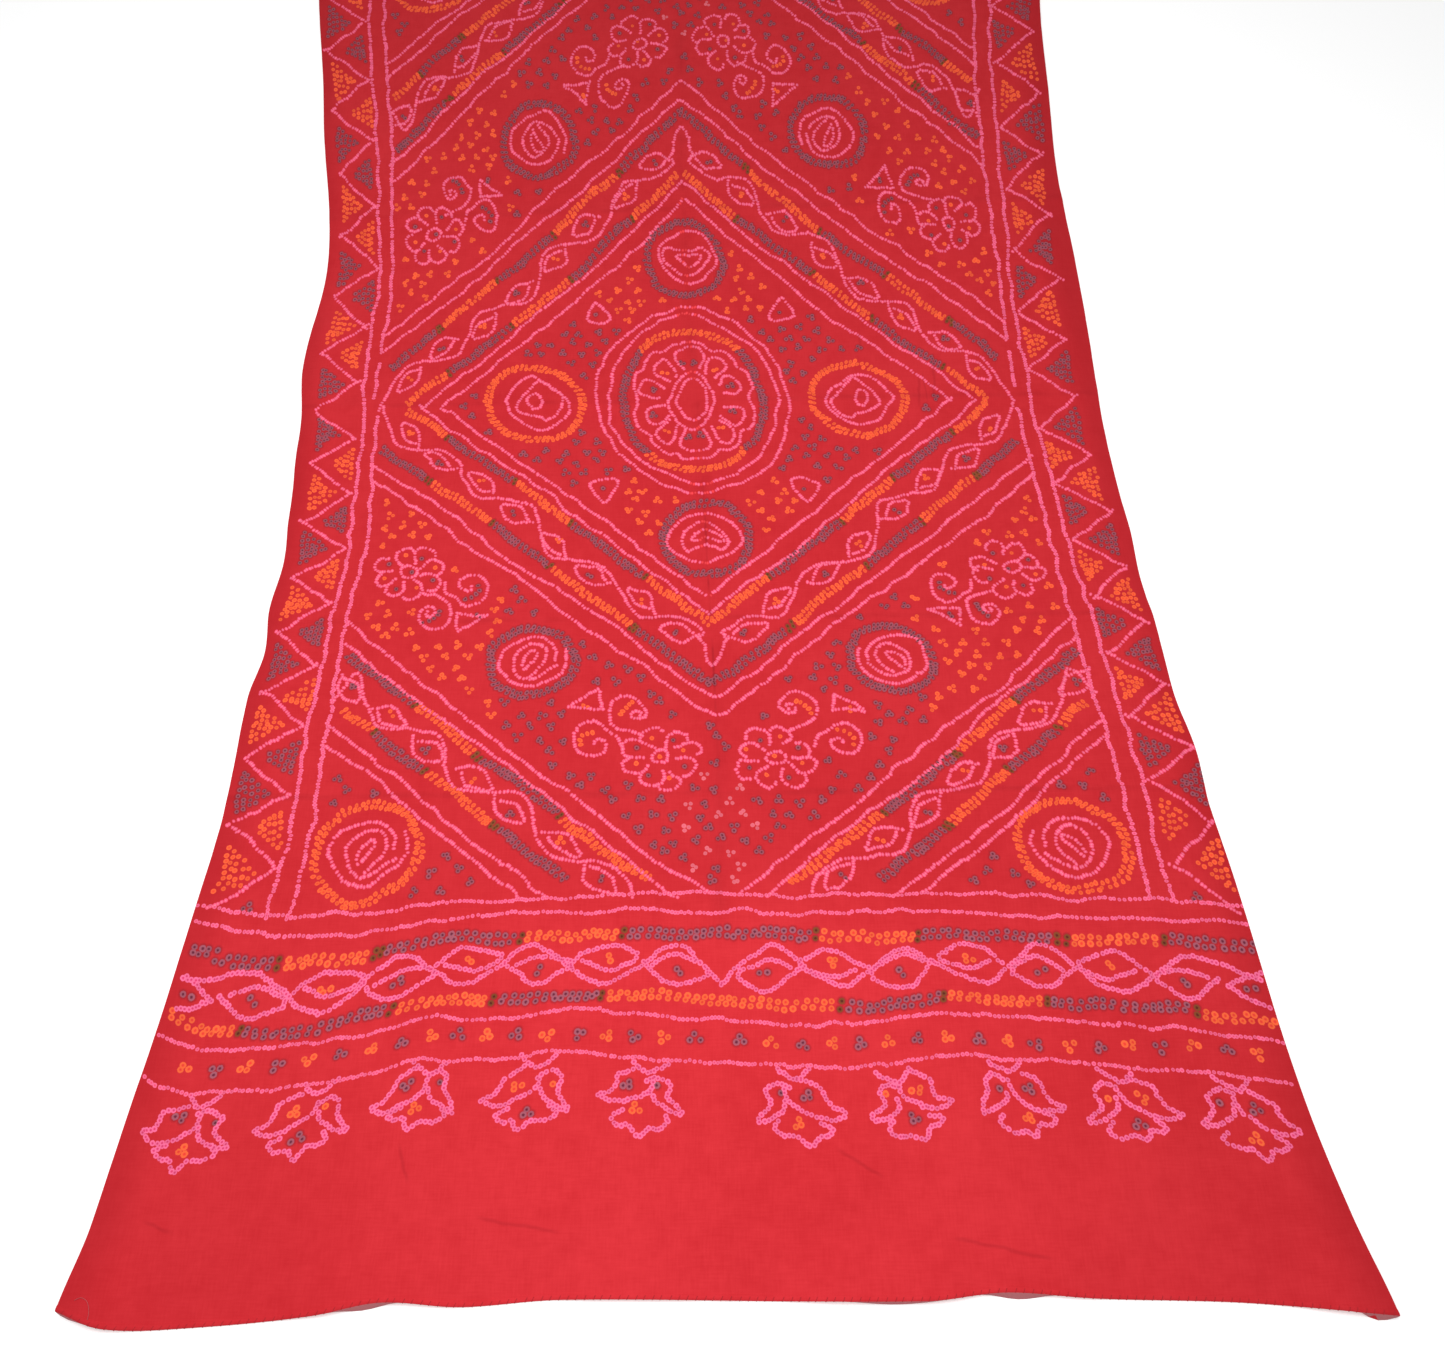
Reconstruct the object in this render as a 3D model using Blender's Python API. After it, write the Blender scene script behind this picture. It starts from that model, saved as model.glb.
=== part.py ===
"""Bandhani cloth: one long tie-dyed shawl laid out flat, with hemmed plain ends.

Metres, +Z up. The near hem faces -Y, the far hem faces +Y, and X runs across the cloth.
Its underside lies on Z = 0, and the origin is the centre of its box on that surface.
The knots of the tied field draw the cloth in, so its sides curve like an hourglass,
and the plain ends keep the width that the cloth had on the loom.
"""
import math

import bmesh
import bpy

# Driving dimensions
LENGTH = 1.91
THICKNESS = 0.0015
SIDE_WAVE = 0.0015
NEAR_HEM_BULGE = 0.0200
FAR_CORNER_RISE = 0.0155
MIDDLE = (LENGTH + FAR_CORNER_RISE - NEAR_HEM_BULGE) / 2
BULGE_WHOLE = 0.20
BULGE_GONE = 0.36

# Grid of the sheet
COLUMNS = 36
ROW_STEP = 0.042
HEM_ROWS = (0.0, 0.014, 0.030, 0.050)
CREASE_REACH = 0.018

# Sides of the cloth: distance from the near hem, the left and the right side,
# and the slope that the weft takes there, because the far part lies turned a little
SIDES = (
    {"s": 0.00, "left": -0.4725, "right": 0.5325, "turn": 0.000},
    {"s": 0.15, "left": -0.4475, "right": 0.4960, "turn": 0.005},
    {"s": 0.31, "left": -0.4235, "right": 0.4735, "turn": 0.010},
    {"s": 0.50, "left": -0.4125, "right": 0.4495, "turn": 0.014},
    {"s": 0.73, "left": -0.4055, "right": 0.4280, "turn": 0.016},
    {"s": 0.92, "left": -0.4180, "right": 0.4215, "turn": 0.028},
    {"s": 1.07, "left": -0.4135, "right": 0.4195, "turn": 0.038},
    {"s": 1.22, "left": -0.4375, "right": 0.4155, "turn": 0.041},
    {"s": 1.40, "left": -0.4655, "right": 0.4245, "turn": 0.041},
    {"s": 1.60, "left": -0.4950, "right": 0.4430, "turn": 0.036},
    {"s": 1.91, "left": -0.5325, "right": 0.4725, "turn": 0.030},
)

# How far the near hem bows out past its straight line, from the left side to the right
NEAR_HEM = (
    {"across": -1.00, "out": 0.008},
    {"across": -0.93, "out": 0.020},
    {"across": -0.80, "out": 0.019},
    {"across": -0.62, "out": 0.011},
    {"across": -0.52, "out": 0.002},
    {"across": -0.40, "out": 0.005},
    {"across": -0.25, "out": 0.000},
    {"across": 0.30, "out": 0.001},
    {"across": 0.42, "out": -0.005},
    {"across": 0.55, "out": -0.001},
    {"across": 0.78, "out": 0.002},
    {"across": 1.00, "out": 0.011},
)

# Soft folds: a ridge from one point to another, how far it spreads and how high it lifts.
# Points are given across the cloth, -1 to 1, and from the near hem, 0 to LENGTH.
FOLDS = (
    {"name": "left corner curl", "from": (-1.00, 0.000), "to": (-0.97, 0.012),
     "reach": 0.055, "lift": 0.0090},
    {"name": "hem lift 1", "from": (-0.58, 0.000), "to": (-0.49, 0.000),
     "reach": 0.060, "lift": 0.0050},
    {"name": "hem lift 2", "from": (-0.17, 0.000), "to": (-0.11, 0.000),
     "reach": 0.055, "lift": 0.0035},
    {"name": "hem lift 3", "from": (0.19, 0.000), "to": (0.32, 0.000),
     "reach": 0.065, "lift": 0.0055},
    {"name": "hem lift 4", "from": (0.42, 0.000), "to": (0.50, 0.006),
     "reach": 0.055, "lift": 0.0040},
    {"name": "right corner lift", "from": (0.95, 0.000), "to": (1.00, 0.000),
     "reach": 0.070, "lift": 0.0065},
    {"name": "turned left edge", "from": (-0.95, 0.480), "to": (-0.95, 0.960),
     "reach": 0.034, "lift": 0.0032},
    {"name": "right wrinkle 1", "from": (0.36, 0.885), "to": (0.46, 0.960),
     "reach": 0.034, "lift": 0.0022},
    {"name": "right wrinkle 2", "from": (0.55, 0.845), "to": (0.70, 0.920),
     "reach": 0.036, "lift": 0.0025},
    {"name": "plain end wave 1", "from": (0.17, 0.080), "to": (0.27, 0.125),
     "reach": 0.045, "lift": 0.0026},
    {"name": "plain end wave 2", "from": (-0.40, 0.085), "to": (-0.27, 0.055),
     "reach": 0.042, "lift": 0.0022},
    {"name": "plain end wave 3", "from": (0.62, 0.060), "to": (0.74, 0.120),
     "reach": 0.045, "lift": 0.0022},
    {"name": "right corner swell", "from": (0.55, 0.325), "to": (0.66, 0.350),
     "reach": 0.045, "lift": 0.0020},
    {"name": "far hem lift 1", "from": (-0.45, 1.910), "to": (-0.30, 1.910),
     "reach": 0.070, "lift": 0.0035},
    {"name": "far hem lift 2", "from": (0.40, 1.910), "to": (0.62, 1.910),
     "reach": 0.070, "lift": 0.0040},
)

# Old fold lines of the cloth's stack: one down its length, and four across it
LENGTHWISE_CREASE = 0.0012
CROSS_CREASES = (
    {"s": 0.412, "lift": 0.0009},
    {"s": 0.592, "lift": 0.0010},
    {"s": 0.855, "lift": 0.0011},
    {"s": 1.130, "lift": 0.0009},
)


def along(table, key, column, value):
    """A table's column at a value of its key, on a smooth curve through the rows."""
    last = len(table) - 1
    at = next((i for i in range(last) if value <= table[i + 1][key]), last - 1)
    before, low, high, after = (table[min(max(at + k, 0), last)] for k in (-1, 0, 1, 2))
    span = high[key] - low[key]
    t = (value - low[key]) / span
    slope_low = (high[column] - before[column]) / (high[key] - before[key]) * span
    slope_high = (after[column] - low[column]) / (after[key] - low[key]) * span
    rise = t * t * (3 - 2 * t)
    curve = low[column] * (1 - rise) + high[column] * rise
    return curve + slope_low * t * (1 - t) ** 2 - slope_high * t * t * (1 - t)


def place(across, s):
    """The point on the surface of a place on the cloth."""
    left = along(SIDES, "s", "left", s)
    right = along(SIDES, "s", "right", s)
    offset = across * (right - left) / 2
    wave = SIDE_WAVE * math.sin(19 * s + 2 * across) * across
    fade = min(max((BULGE_GONE - s) / (BULGE_GONE - BULGE_WHOLE), 0.0), 1.0)
    bow = along(NEAR_HEM, "across", "out", across) * fade * fade * (3 - 2 * fade)
    rise = along(SIDES, "s", "turn", s) * offset
    return (left + right) / 2 + offset + wave, s + rise - bow - MIDDLE


def soft(distance, reach):
    """A soft ridge's height, 1 on its line and 0 at its reach."""
    if distance >= reach:
        return 0.0
    return (1 + math.cos(math.pi * distance / reach)) / 2


def to_segment(point, start, end):
    """How far a point is from a straight segment."""
    along_x, along_y = end[0] - start[0], end[1] - start[1]
    off_x, off_y = point[0] - start[0], point[1] - start[1]
    size = along_x * along_x + along_y * along_y
    t = min(max((off_x * along_x + off_y * along_y) / size, 0.0), 1.0)
    return math.hypot(off_x - t * along_x, off_y - t * along_y)


def lift(across, s):
    """How high the cloth stands off the surface at a place."""
    point = place(across, s)
    height = LENGTHWISE_CREASE * soft(abs(point[0] - place(0.0, s)[0]), CREASE_REACH)
    for crease in CROSS_CREASES:
        height = max(height, crease["lift"] * soft(abs(s - crease["s"]), CREASE_REACH))
    for fold in FOLDS:
        distance = to_segment(point, place(*fold["from"]), place(*fold["to"]))
        height = max(height, fold["lift"] * soft(distance, fold["reach"]))
    return height


def across_stations():
    """Places of the grid's lines across the cloth, with one on each side of the long crease."""
    even = [-1 + 2 * i / COLUMNS for i in range(COLUMNS + 1)]
    beside = 2 * CREASE_REACH / (SIDES[0]["right"] - SIDES[0]["left"])
    return sorted(even + [-beside, beside])


def length_stations():
    """Places of the grid's lines along the cloth, closer at the hems and the creases."""
    fixed = list(HEM_ROWS) + [LENGTH - s for s in HEM_ROWS]
    for crease in CROSS_CREASES:
        fixed += [crease["s"] - CREASE_REACH, crease["s"], crease["s"] + CREASE_REACH]
    fixed.sort()
    rows = [fixed[0]]
    for s in fixed[1:]:
        gap = s - rows[-1]
        parts = max(1, round(gap / ROW_STEP))
        start = rows[-1]
        rows += [start + gap * k / parts for k in range(1, parts + 1)]
    return rows


def sheet_mesh(name):
    """One closed sheet: a top and an underside of the same grid, joined by a rim."""
    across, rows = across_stations(), length_stations()
    form = bmesh.new()
    under, top = [], []
    for s in rows:
        under.append([])
        top.append([])
        for u in across:
            x, y = place(u, s)
            z = lift(u, s)
            under[-1].append(form.verts.new((x, y, z)))
            top[-1].append(form.verts.new((x, y, z + THICKNESS)))
    last_row, last_column = len(rows) - 1, len(across) - 1
    for j in range(last_row):
        for i in range(last_column):
            form.faces.new((top[j][i], top[j][i + 1], top[j + 1][i + 1], top[j + 1][i]))
            form.faces.new((under[j][i], under[j + 1][i], under[j + 1][i + 1], under[j][i + 1]))
    rim = [(0, i) for i in range(last_column)]
    rim += [(j, last_column) for j in range(last_row)]
    rim += [(last_row, i) for i in range(last_column, 0, -1)]
    rim += [(j, 0) for j in range(last_row, 0, -1)]
    for (j, i), (next_j, next_i) in zip(rim, rim[1:] + rim[:1]):
        form.faces.new((under[j][i], under[next_j][next_i], top[next_j][next_i], top[j][i]))
    mesh = bpy.data.meshes.new(name)
    form.to_mesh(mesh)
    form.free()
    mesh.shade_smooth()
    mesh.set_sharp_from_angle(angle=math.radians(50))
    return mesh


def red_cloth():
    """The dyed cloth's red."""
    material = bpy.data.materials.new("red_cloth")
    material.use_nodes = True
    shader = material.node_tree.nodes["Principled BSDF"]
    shader.inputs["Base Color"].default_value = (0.66, 0.035, 0.045, 1)
    shader.inputs["Roughness"].default_value = 0.85
    shader.inputs["Metallic"].default_value = 0.0
    return material


def make_cloth():
    """The whole cloth as one sheet, its hems part of it."""
    cloth = bpy.data.objects.new("cloth", sheet_mesh("cloth"))
    cloth.data.materials.append(red_cloth())
    bpy.context.scene.collection.objects.link(cloth)


for old in list(bpy.data.objects):
    bpy.data.objects.remove(old, do_unlink=True)
make_cloth()
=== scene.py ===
"""Looks of the bandhani cloth: its tied dots, its weave, its sewn hems and the studio around it."""
import math
import random

import bpy
import numpy as np
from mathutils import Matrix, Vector, noise


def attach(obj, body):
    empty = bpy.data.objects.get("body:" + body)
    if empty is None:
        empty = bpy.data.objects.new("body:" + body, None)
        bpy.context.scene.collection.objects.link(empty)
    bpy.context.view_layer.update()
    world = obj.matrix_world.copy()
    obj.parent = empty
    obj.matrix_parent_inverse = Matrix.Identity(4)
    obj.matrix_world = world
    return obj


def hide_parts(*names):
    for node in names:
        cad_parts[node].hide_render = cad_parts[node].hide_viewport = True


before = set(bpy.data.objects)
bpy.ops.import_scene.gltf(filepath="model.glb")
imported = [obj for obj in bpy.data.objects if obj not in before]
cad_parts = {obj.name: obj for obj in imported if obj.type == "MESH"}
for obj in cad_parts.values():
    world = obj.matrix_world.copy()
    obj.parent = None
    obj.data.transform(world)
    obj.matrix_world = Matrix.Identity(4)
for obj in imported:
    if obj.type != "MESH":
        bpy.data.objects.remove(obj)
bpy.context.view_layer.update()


def named(columns, *rows):
    """A table whose rows are read by the names of its columns."""
    names = columns.split()
    return tuple(dict(zip(names, row)) for row in rows)


# Driving dimensions, as in the part's source
LENGTH = 1.91
SIDE_WAVE = 0.0015
NEAR_HEM_BULGE = 0.0200
FAR_CORNER_RISE = 0.0155
MIDDLE = (LENGTH + FAR_CORNER_RISE - NEAR_HEM_BULGE) / 2
BULGE_WHOLE = 0.20
BULGE_GONE = 0.36
CREASE_REACH = 0.018
SIDES = named(
    "s left right turn",
    (0.00, -0.4725, 0.5325, 0.000),
    (0.15, -0.4475, 0.4960, 0.005),
    (0.31, -0.4235, 0.4735, 0.010),
    (0.50, -0.4125, 0.4495, 0.014),
    (0.73, -0.4055, 0.4280, 0.016),
    (0.92, -0.4180, 0.4215, 0.028),
    (1.07, -0.4135, 0.4195, 0.038),
    (1.22, -0.4375, 0.4155, 0.041),
    (1.40, -0.4655, 0.4245, 0.041),
    (1.60, -0.4950, 0.4430, 0.036),
    (1.91, -0.5325, 0.4725, 0.030),
)
NEAR_HEM = named(
    "across out",
    (-1.00, 0.008),
    (-0.93, 0.020),
    (-0.80, 0.019),
    (-0.62, 0.011),
    (-0.52, 0.002),
    (-0.40, 0.005),
    (-0.25, 0.000),
    (0.30, 0.001),
    (0.42, -0.005),
    (0.55, -0.001),
    (0.78, 0.002),
    (1.00, 0.011),
)
FOLDS = named(
    "name from to reach lift",
    ("left corner curl", (-1.00, 0.000), (-0.97, 0.012), 0.055, 0.0090),
    ("hem lift 1", (-0.58, 0.000), (-0.49, 0.000), 0.060, 0.0050),
    ("hem lift 2", (-0.17, 0.000), (-0.11, 0.000), 0.055, 0.0035),
    ("hem lift 3", (0.19, 0.000), (0.32, 0.000), 0.065, 0.0055),
    ("hem lift 4", (0.42, 0.000), (0.50, 0.006), 0.055, 0.0040),
    ("right corner lift", (0.95, 0.000), (1.00, 0.000), 0.070, 0.0065),
    ("turned left edge", (-0.95, 0.480), (-0.95, 0.960), 0.034, 0.0032),
    ("right wrinkle 1", (0.36, 0.885), (0.46, 0.960), 0.034, 0.0022),
    ("right wrinkle 2", (0.55, 0.845), (0.70, 0.920), 0.036, 0.0025),
    ("plain end wave 1", (0.17, 0.080), (0.27, 0.125), 0.045, 0.0026),
    ("plain end wave 2", (-0.40, 0.085), (-0.27, 0.055), 0.042, 0.0022),
    ("plain end wave 3", (0.62, 0.060), (0.74, 0.120), 0.045, 0.0022),
    ("right corner swell", (0.55, 0.325), (0.66, 0.350), 0.045, 0.0020),
    ("far hem lift 1", (-0.45, 1.910), (-0.30, 1.910), 0.070, 0.0035),
    ("far hem lift 2", (0.40, 1.910), (0.62, 1.910), 0.070, 0.0040),
)
LENGTHWISE_CREASE = 0.0012
CROSS_CREASES = named(
    "s lift",
    (0.412, 0.0009),
    (0.592, 0.0010),
    (0.855, 0.0011),
    (1.130, 0.0009),
)

# Small bulges (out) and dents (in, below 0) of the side edges that the solid leaves out: the
# side, the distance from the near hem, how far each spreads and how far it stands out
EDGE_WAVES = named(
    "side s reach out",
    (-1, 0.30, 0.12, 0.004),
    (-1, 0.56, 0.05, -0.006),
    (-1, 0.66, 0.05, -0.003),
    (-1, 0.84, 0.07, -0.004),
    (-1, 1.18, 0.12, -0.004),
    (1, 0.15, 0.18, 0.003),
    (1, 0.45, 0.06, 0.005),
    (1, 0.63, 0.06, -0.003),
    (1, 1.25, 0.30, 0.002),
)
# Where across the cloth the bulges and dents begin, 1 at its edge
EDGE_FROM = 0.86

# The scene's sheet: its thickness, its grid and the hem's roll
CLOTH = 0.0008
COLUMNS = 146
ROW_STEP = 0.0066
HEM_TURN = 0.0045
HEM_BEAD = 0.0009
# Where the hem's back shows, a strip coloured as the cloth's paler back with painted shade: the
# place across, how far it spreads and how far it stands out
HEM_BACK_AND_SHADE = named(
    "across reach out",
    (-0.990, 0.040, 0.0030),
    (-0.542, 0.055, 0.0036),
    (0.254, 0.085, 0.0018),
    (0.439, 0.062, 0.0044),
    (0.975, 0.035, 0.0040),
)

# The pattern's own flat frame: across from the centre line at the width HALF, and along from
# the middle of the panel. This table says how far from the near hem a place along it lies.
# The far half lies longer, as the photograph shows it.
HALF = 0.42
LENGTHWAYS = named(
    "along s",
    (-0.854, 0.000),
    (-0.400, 0.454),
    (-0.100, 0.754),
    (0.000, 0.854),
    (0.100, 0.9635),
    (0.200, 1.092),
    (0.300, 1.2395),
    (0.400, 1.404),
    (0.460, 1.495),
    (0.540, 1.602),
    (0.700, 1.760),
    (0.854, 1.910),
)

# Kinds of tied dot: radius, the ring's colour, and the colour of its core, as they look
# in the photograph's light
KINDS = named(
    "name radius ring core",
    ("field pink", 0.00157, (250, 92, 130), (255, 134, 162)),
    ("band pink", 0.00168, (255, 112, 152), (240, 76, 114)),
    ("bold pink", 0.00212, (255, 116, 162), (216, 58, 106)),
    ("orange", 0.00208, (255, 102, 58), (246, 74, 52)),
    ("grey", 0.00208, (158, 84, 98), (90, 34, 48)),
    ("olive", 0.00214, (134, 78, 44), (84, 48, 32)),
    ("band orange", 0.00268, (255, 108, 62), (236, 62, 54)),
    ("band grey", 0.00256, (166, 92, 108), (84, 28, 50)),
    ("band olive", 0.00256, (132, 74, 42), (74, 38, 30)),
    ("pale", 0.00190, (230, 112, 124), (226, 96, 122)),
    ("worn pink", 0.00140, (240, 62, 70), (250, 84, 88)),
)
PINK, FINE, BOLD, ORANGE, GREY, OLIVE, BAND_ORANGE, BAND_GREY, BAND_OLIVE, PALE, WORN = range(11)
DARK_KINDS = (GREY, OLIVE, BAND_GREY, BAND_OLIVE)
# How many dots a face of the sheet can hold, how far a dot reaches, and an empty slot's place
SLOTS = 9
REACH = 0.0046
EMPTY = 9.0
# How a field dot is drawn out beside its line and squeezed along it
DRAWN_BESIDE = 0.83
DRAWN_ALONG = 1.14


def along(table, key, column, values):
    """A table's column at values of its key, on a smooth curve through the rows."""
    keys = np.array([row[key] for row in table])
    heights = np.array([row[column] for row in table])
    last = len(keys) - 1
    below = np.maximum(np.arange(last + 1) - 1, 0)
    above = np.minimum(np.arange(last + 1) + 1, last)
    slopes = (heights[above] - heights[below]) / (keys[above] - keys[below])
    at = np.clip(np.searchsorted(keys, values) - 1, 0, last - 1)
    span = keys[at + 1] - keys[at]
    t = (values - keys[at]) / span
    rise = t * t * (3 - 2 * t)
    curve = heights[at] * (1 - rise) + heights[at + 1] * rise
    return curve + span * (slopes[at] * t * (1 - t) ** 2 - slopes[at + 1] * t * t * (1 - t))


def place(across, s):
    """Points on the surface of places on the cloth, given as arrays."""
    left = along(SIDES, "s", "left", s)
    right = along(SIDES, "s", "right", s)
    offset = across * (right - left) / 2
    wave = SIDE_WAVE * np.sin(19 * s + 2 * across) * across
    fade = np.clip((BULGE_GONE - s) / (BULGE_GONE - BULGE_WHOLE), 0, 1)
    bow = along(NEAR_HEM, "across", "out", across) * fade * fade * (3 - 2 * fade)
    rise = along(SIDES, "s", "turn", s) * offset
    return (left + right) / 2 + offset + wave, s + rise - bow - MIDDLE


def soft(distance, reach):
    """A soft ridge's height, 1 on its line and 0 at its reach."""
    return (1 + np.cos(np.pi * np.clip(distance / reach, 0, 1))) / 2


def to_segment(x, y, start, end):
    """How far points are from a straight segment."""
    along_x, along_y = end[0] - start[0], end[1] - start[1]
    off_x, off_y = x - start[0], y - start[1]
    size = along_x * along_x + along_y * along_y
    t = np.clip((off_x * along_x + off_y * along_y) / size, 0, 1)
    return np.hypot(off_x - t * along_x, off_y - t * along_y)


def ends(row):
    """The two ends of a row's line, on the surface."""
    return [place(np.array([across]), np.array([s])) for across, s in (row["from"], row["to"])]


def lift(across, s):
    """How high the cloth stands off the surface at places on it."""
    x, y = place(across, s)
    height = LENGTHWISE_CREASE * soft(np.abs(x - place(np.zeros_like(s), s)[0]), CREASE_REACH)
    for crease in CROSS_CREASES:
        height = np.maximum(height, crease["lift"] * soft(np.abs(s - crease["s"]), CREASE_REACH))
    for fold in FOLDS:
        distance = to_segment(x, y, *ends(fold))
        height = np.maximum(height, fold["lift"] * soft(distance, fold["reach"]))
    return height


# How far the hand-tied pattern strays from its plan: its centre line across, and its left and
# right borders across and along, by the distance along
STRAY = named(
    "along centre left right up",
    (-0.70, 0.0000, 0.0000, 0.0030, 0.0000),
    (-0.54, 0.0010, -0.0030, 0.0075, 0.0000),
    (-0.43, 0.0030, -0.0005, 0.0090, 0.0030),
    (-0.30, 0.0015, 0.0025, 0.0030, -0.0015),
    (-0.21, -0.0010, 0.0040, -0.0025, -0.0065),
    (-0.12, -0.0025, 0.0065, -0.0075, -0.0100),
    (0.00, -0.0040, 0.0100, -0.0150, -0.0040),
    (0.12, -0.0115, 0.0080, -0.0150, 0.0015),
    (0.19, -0.0165, 0.0040, -0.0080, 0.0050),
    (0.26, -0.0120, 0.0070, -0.0015, 0.0040),
    (0.38, -0.0035, -0.0005, -0.0010, 0.0015),
    (0.60, 0.0000, 0.0000, 0.0000, 0.0000),
)
# How far the near band's inner and outer rows stray along the cloth, by the distance across
BAND_STRAY = named(
    "across inner outer",
    (-0.42, -0.003, -0.001),
    (-0.32, -0.011, -0.002),
    (-0.19, -0.001, 0.008),
    (-0.08, 0.000, 0.005),
    (0.03, 0.001, -0.004),
    (0.19, -0.003, -0.004),
    (0.36, -0.008, -0.009),
    (0.42, -0.009, -0.012),
)
LEAN_ALONG = -0.015

# A hand's own straying along a line: how soon it turns, and how far it goes
SLOW_TURNS, SLOW_STRAY = 13, 0.0052
FAST_TURNS, FAST_STRAY = 55, 0.0034

# Distance between the dots of a line and of a bold line
PITCH = 0.0027
BOLD_PITCH = 0.0034

dots = []
chance = random.Random(11)


def wander(a, t, seed):
    """How far a hand's line strays from its plan near a place."""
    slow = Vector((a * SLOW_TURNS, t * SLOW_TURNS, seed * 7.3))
    fast = Vector((a * FAST_TURNS, t * FAST_TURNS, seed * 3.1 + 40))
    beside = Vector((50, 0, 0))
    da = SLOW_STRAY * noise.noise(slow) + FAST_STRAY * noise.noise(fast)
    dt = SLOW_STRAY * noise.noise(slow + beside) + FAST_STRAY * noise.noise(fast + beside)
    return da, dt


def add(a, t, kind, seed=0.0, jitter=0.00030, drawn=(0.0, 0.0)):
    """Ties one dot near a place of the pattern, drawn out in a direction."""
    da, dt = wander(a, t, seed)
    a += da + chance.gauss(0, jitter)
    t += dt + chance.gauss(0, jitter)
    dots.append((a, t, kind) + drawn)


def widening(t):
    """How much wider than the pattern's own frame the cloth lies at a place along it."""
    s = float(along(LENGTHWAYS, "along", "s", np.array([t]))[0])
    row = np.array([s])
    return float((along(SIDES, "s", "right", row) - along(SIDES, "s", "left", row))[0]) / 2 / HALF


def smooth(points, closed=False, steps=8):
    """A soft curve through a few points, as many short steps."""
    count = len(points)
    last = count if closed else count - 1
    curve = []
    for i in range(last):
        if closed:
            four = [points[(i + k) % count] for k in (-1, 0, 1, 2)]
        else:
            four = [points[min(max(i + k, 0), count - 1)] for k in (-1, 0, 1, 2)]
        for step in range(steps):
            t = step / steps
            curve.append(tuple(
                0.5 * (2 * b + (c - a) * t + (2 * a - 5 * b + 4 * c - d) * t * t
                       + (3 * b - a - 3 * c + d) * t ** 3)
                for a, b, c, d in zip(*four)))
    curve.append(points[0] if closed else points[-1])
    return curve


def spaced(points, pitch):
    """Places at one pitch along a path, as it lies on the cloth, with the path's direction."""
    wide = widening(sum(p[1] for p in points) / len(points))
    lengths = [0.0]
    for (a, t), (next_a, next_t) in zip(points, points[1:]):
        lengths.append(lengths[-1] + math.hypot((next_a - a) * wide, next_t - t))
    count = max(1, round(lengths[-1] / pitch))
    out, at = [], 0
    for k in range(count + 1):
        want = lengths[-1] * k / count
        while at < len(points) - 2 and lengths[at + 1] < want:
            at += 1
        (a, t), (next_a, next_t) = points[at], points[at + 1]
        size = max(lengths[at + 1] - lengths[at], 1e-9)
        part = (want - lengths[at]) / size
        way = ((next_a - a) * wide / size, (next_t - t) / size)
        out.append((a + (next_a - a) * part, t + (next_t - t) * part, way))
    return out


def line(points, kind=PINK, pitch=PITCH, seed=None, gaps=()):
    """A row of single dots along a path; gaps are stretches left out, 0 to 1."""
    seed = chance.uniform(0, 90) if seed is None else seed
    row = spaced(points, pitch)
    for i, (a, t, way) in enumerate(row):
        part = i / max(len(row) - 1, 1)
        if not any(low < part < high for low, high in gaps):
            add(a, t, kind, seed, 0.00036, (-way[1], way[0]))


def pairs(points, kind_at, pitch=0.0047, reach=0.0023, lean=0.45):
    """A row of dots tied in pairs across a path; kind_at gives the kind at a place."""
    seed = chance.uniform(0, 90)
    for a, t, way in spaced(points, pitch):
        wide = widening(t)
        turn = lean + chance.gauss(0, 0.18)
        across = (-way[1] * math.cos(turn) + way[0] * math.sin(turn),
                  way[0] * math.cos(turn) + way[1] * math.sin(turn))
        kind = kind_at(a, t)
        for side in (-1, 1):
            step = side * reach * chance.uniform(0.88, 1.12)
            add(a + across[0] * step / wide, t + across[1] * step, kind, seed, 0.00035, across)


def cluster(a, t, kind, count, turn=None):
    """A few dots tied close together."""
    turn = chance.gauss(-0.5, 0.7) if turn is None else turn
    grown = 1.28 if kind in (BAND_ORANGE, BAND_GREY) else 1.0
    size = {1: 0.0, 2: 0.0021, 3: 0.0024}[count] * grown
    for k in range(count):
        angle = turn + math.tau * k / count
        add(a + size * math.cos(angle), t + size * math.sin(angle), kind, 0, 0.00050)


def banded(stops, kinds, olive=OLIVE, reach=0.0024):
    """A rule that gives the kind of dot by the distance from the centre line."""
    def kind_at(a, t):
        for stop in stops:
            if abs(abs(a) - stop) < reach:
                return olive
        return kinds[sum(abs(a) > stop for stop in stops)]
    return kind_at


def placed(points, centre, turn=0.0, size=1.0, sides=(1, 1)):
    """A motif's own points, in millimetres, put on the pattern about a centre."""
    turn += chance.gauss(0, 0.03)
    size *= 0.001 * chance.uniform(0.98, 1.02)
    cos, sin = math.cos(turn), math.sin(turn)
    out = []
    for x, y in points:
        a, t = size * (x * cos - y * sin), size * (x * sin + y * cos)
        out.append((centre[0] + a * sides[0], centre[1] + t * sides[1]))
    return out


# The signs of the two places in each quarter of the pattern
QUARTERS = ((1, -1), (-1, -1), (1, 1), (-1, 1))

# Edge of the field: its double line, its ends and the zigzag outside it
BORDER_OUTER = 0.3605
BORDER_INNER = 0.3435
FIELD_END = 0.5375
ZIGZAG_TIP = 0.411
ZIGZAG_INNER = 0.366
ZIGZAG_PITCH = 0.0676
ZIGZAG_COUNT = 8
EDGE_TRIANGLE = {"from": 0.4075, "step": -0.0046, "pitch": 0.0052, "counts": (8, 7, 5, 4, 2, 1)}
TIP_TRIANGLE = {"from": 0.3690, "step": 0.0046, "pitch": 0.0051, "counts": (7, 6, 4, 3, 2)}


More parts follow.
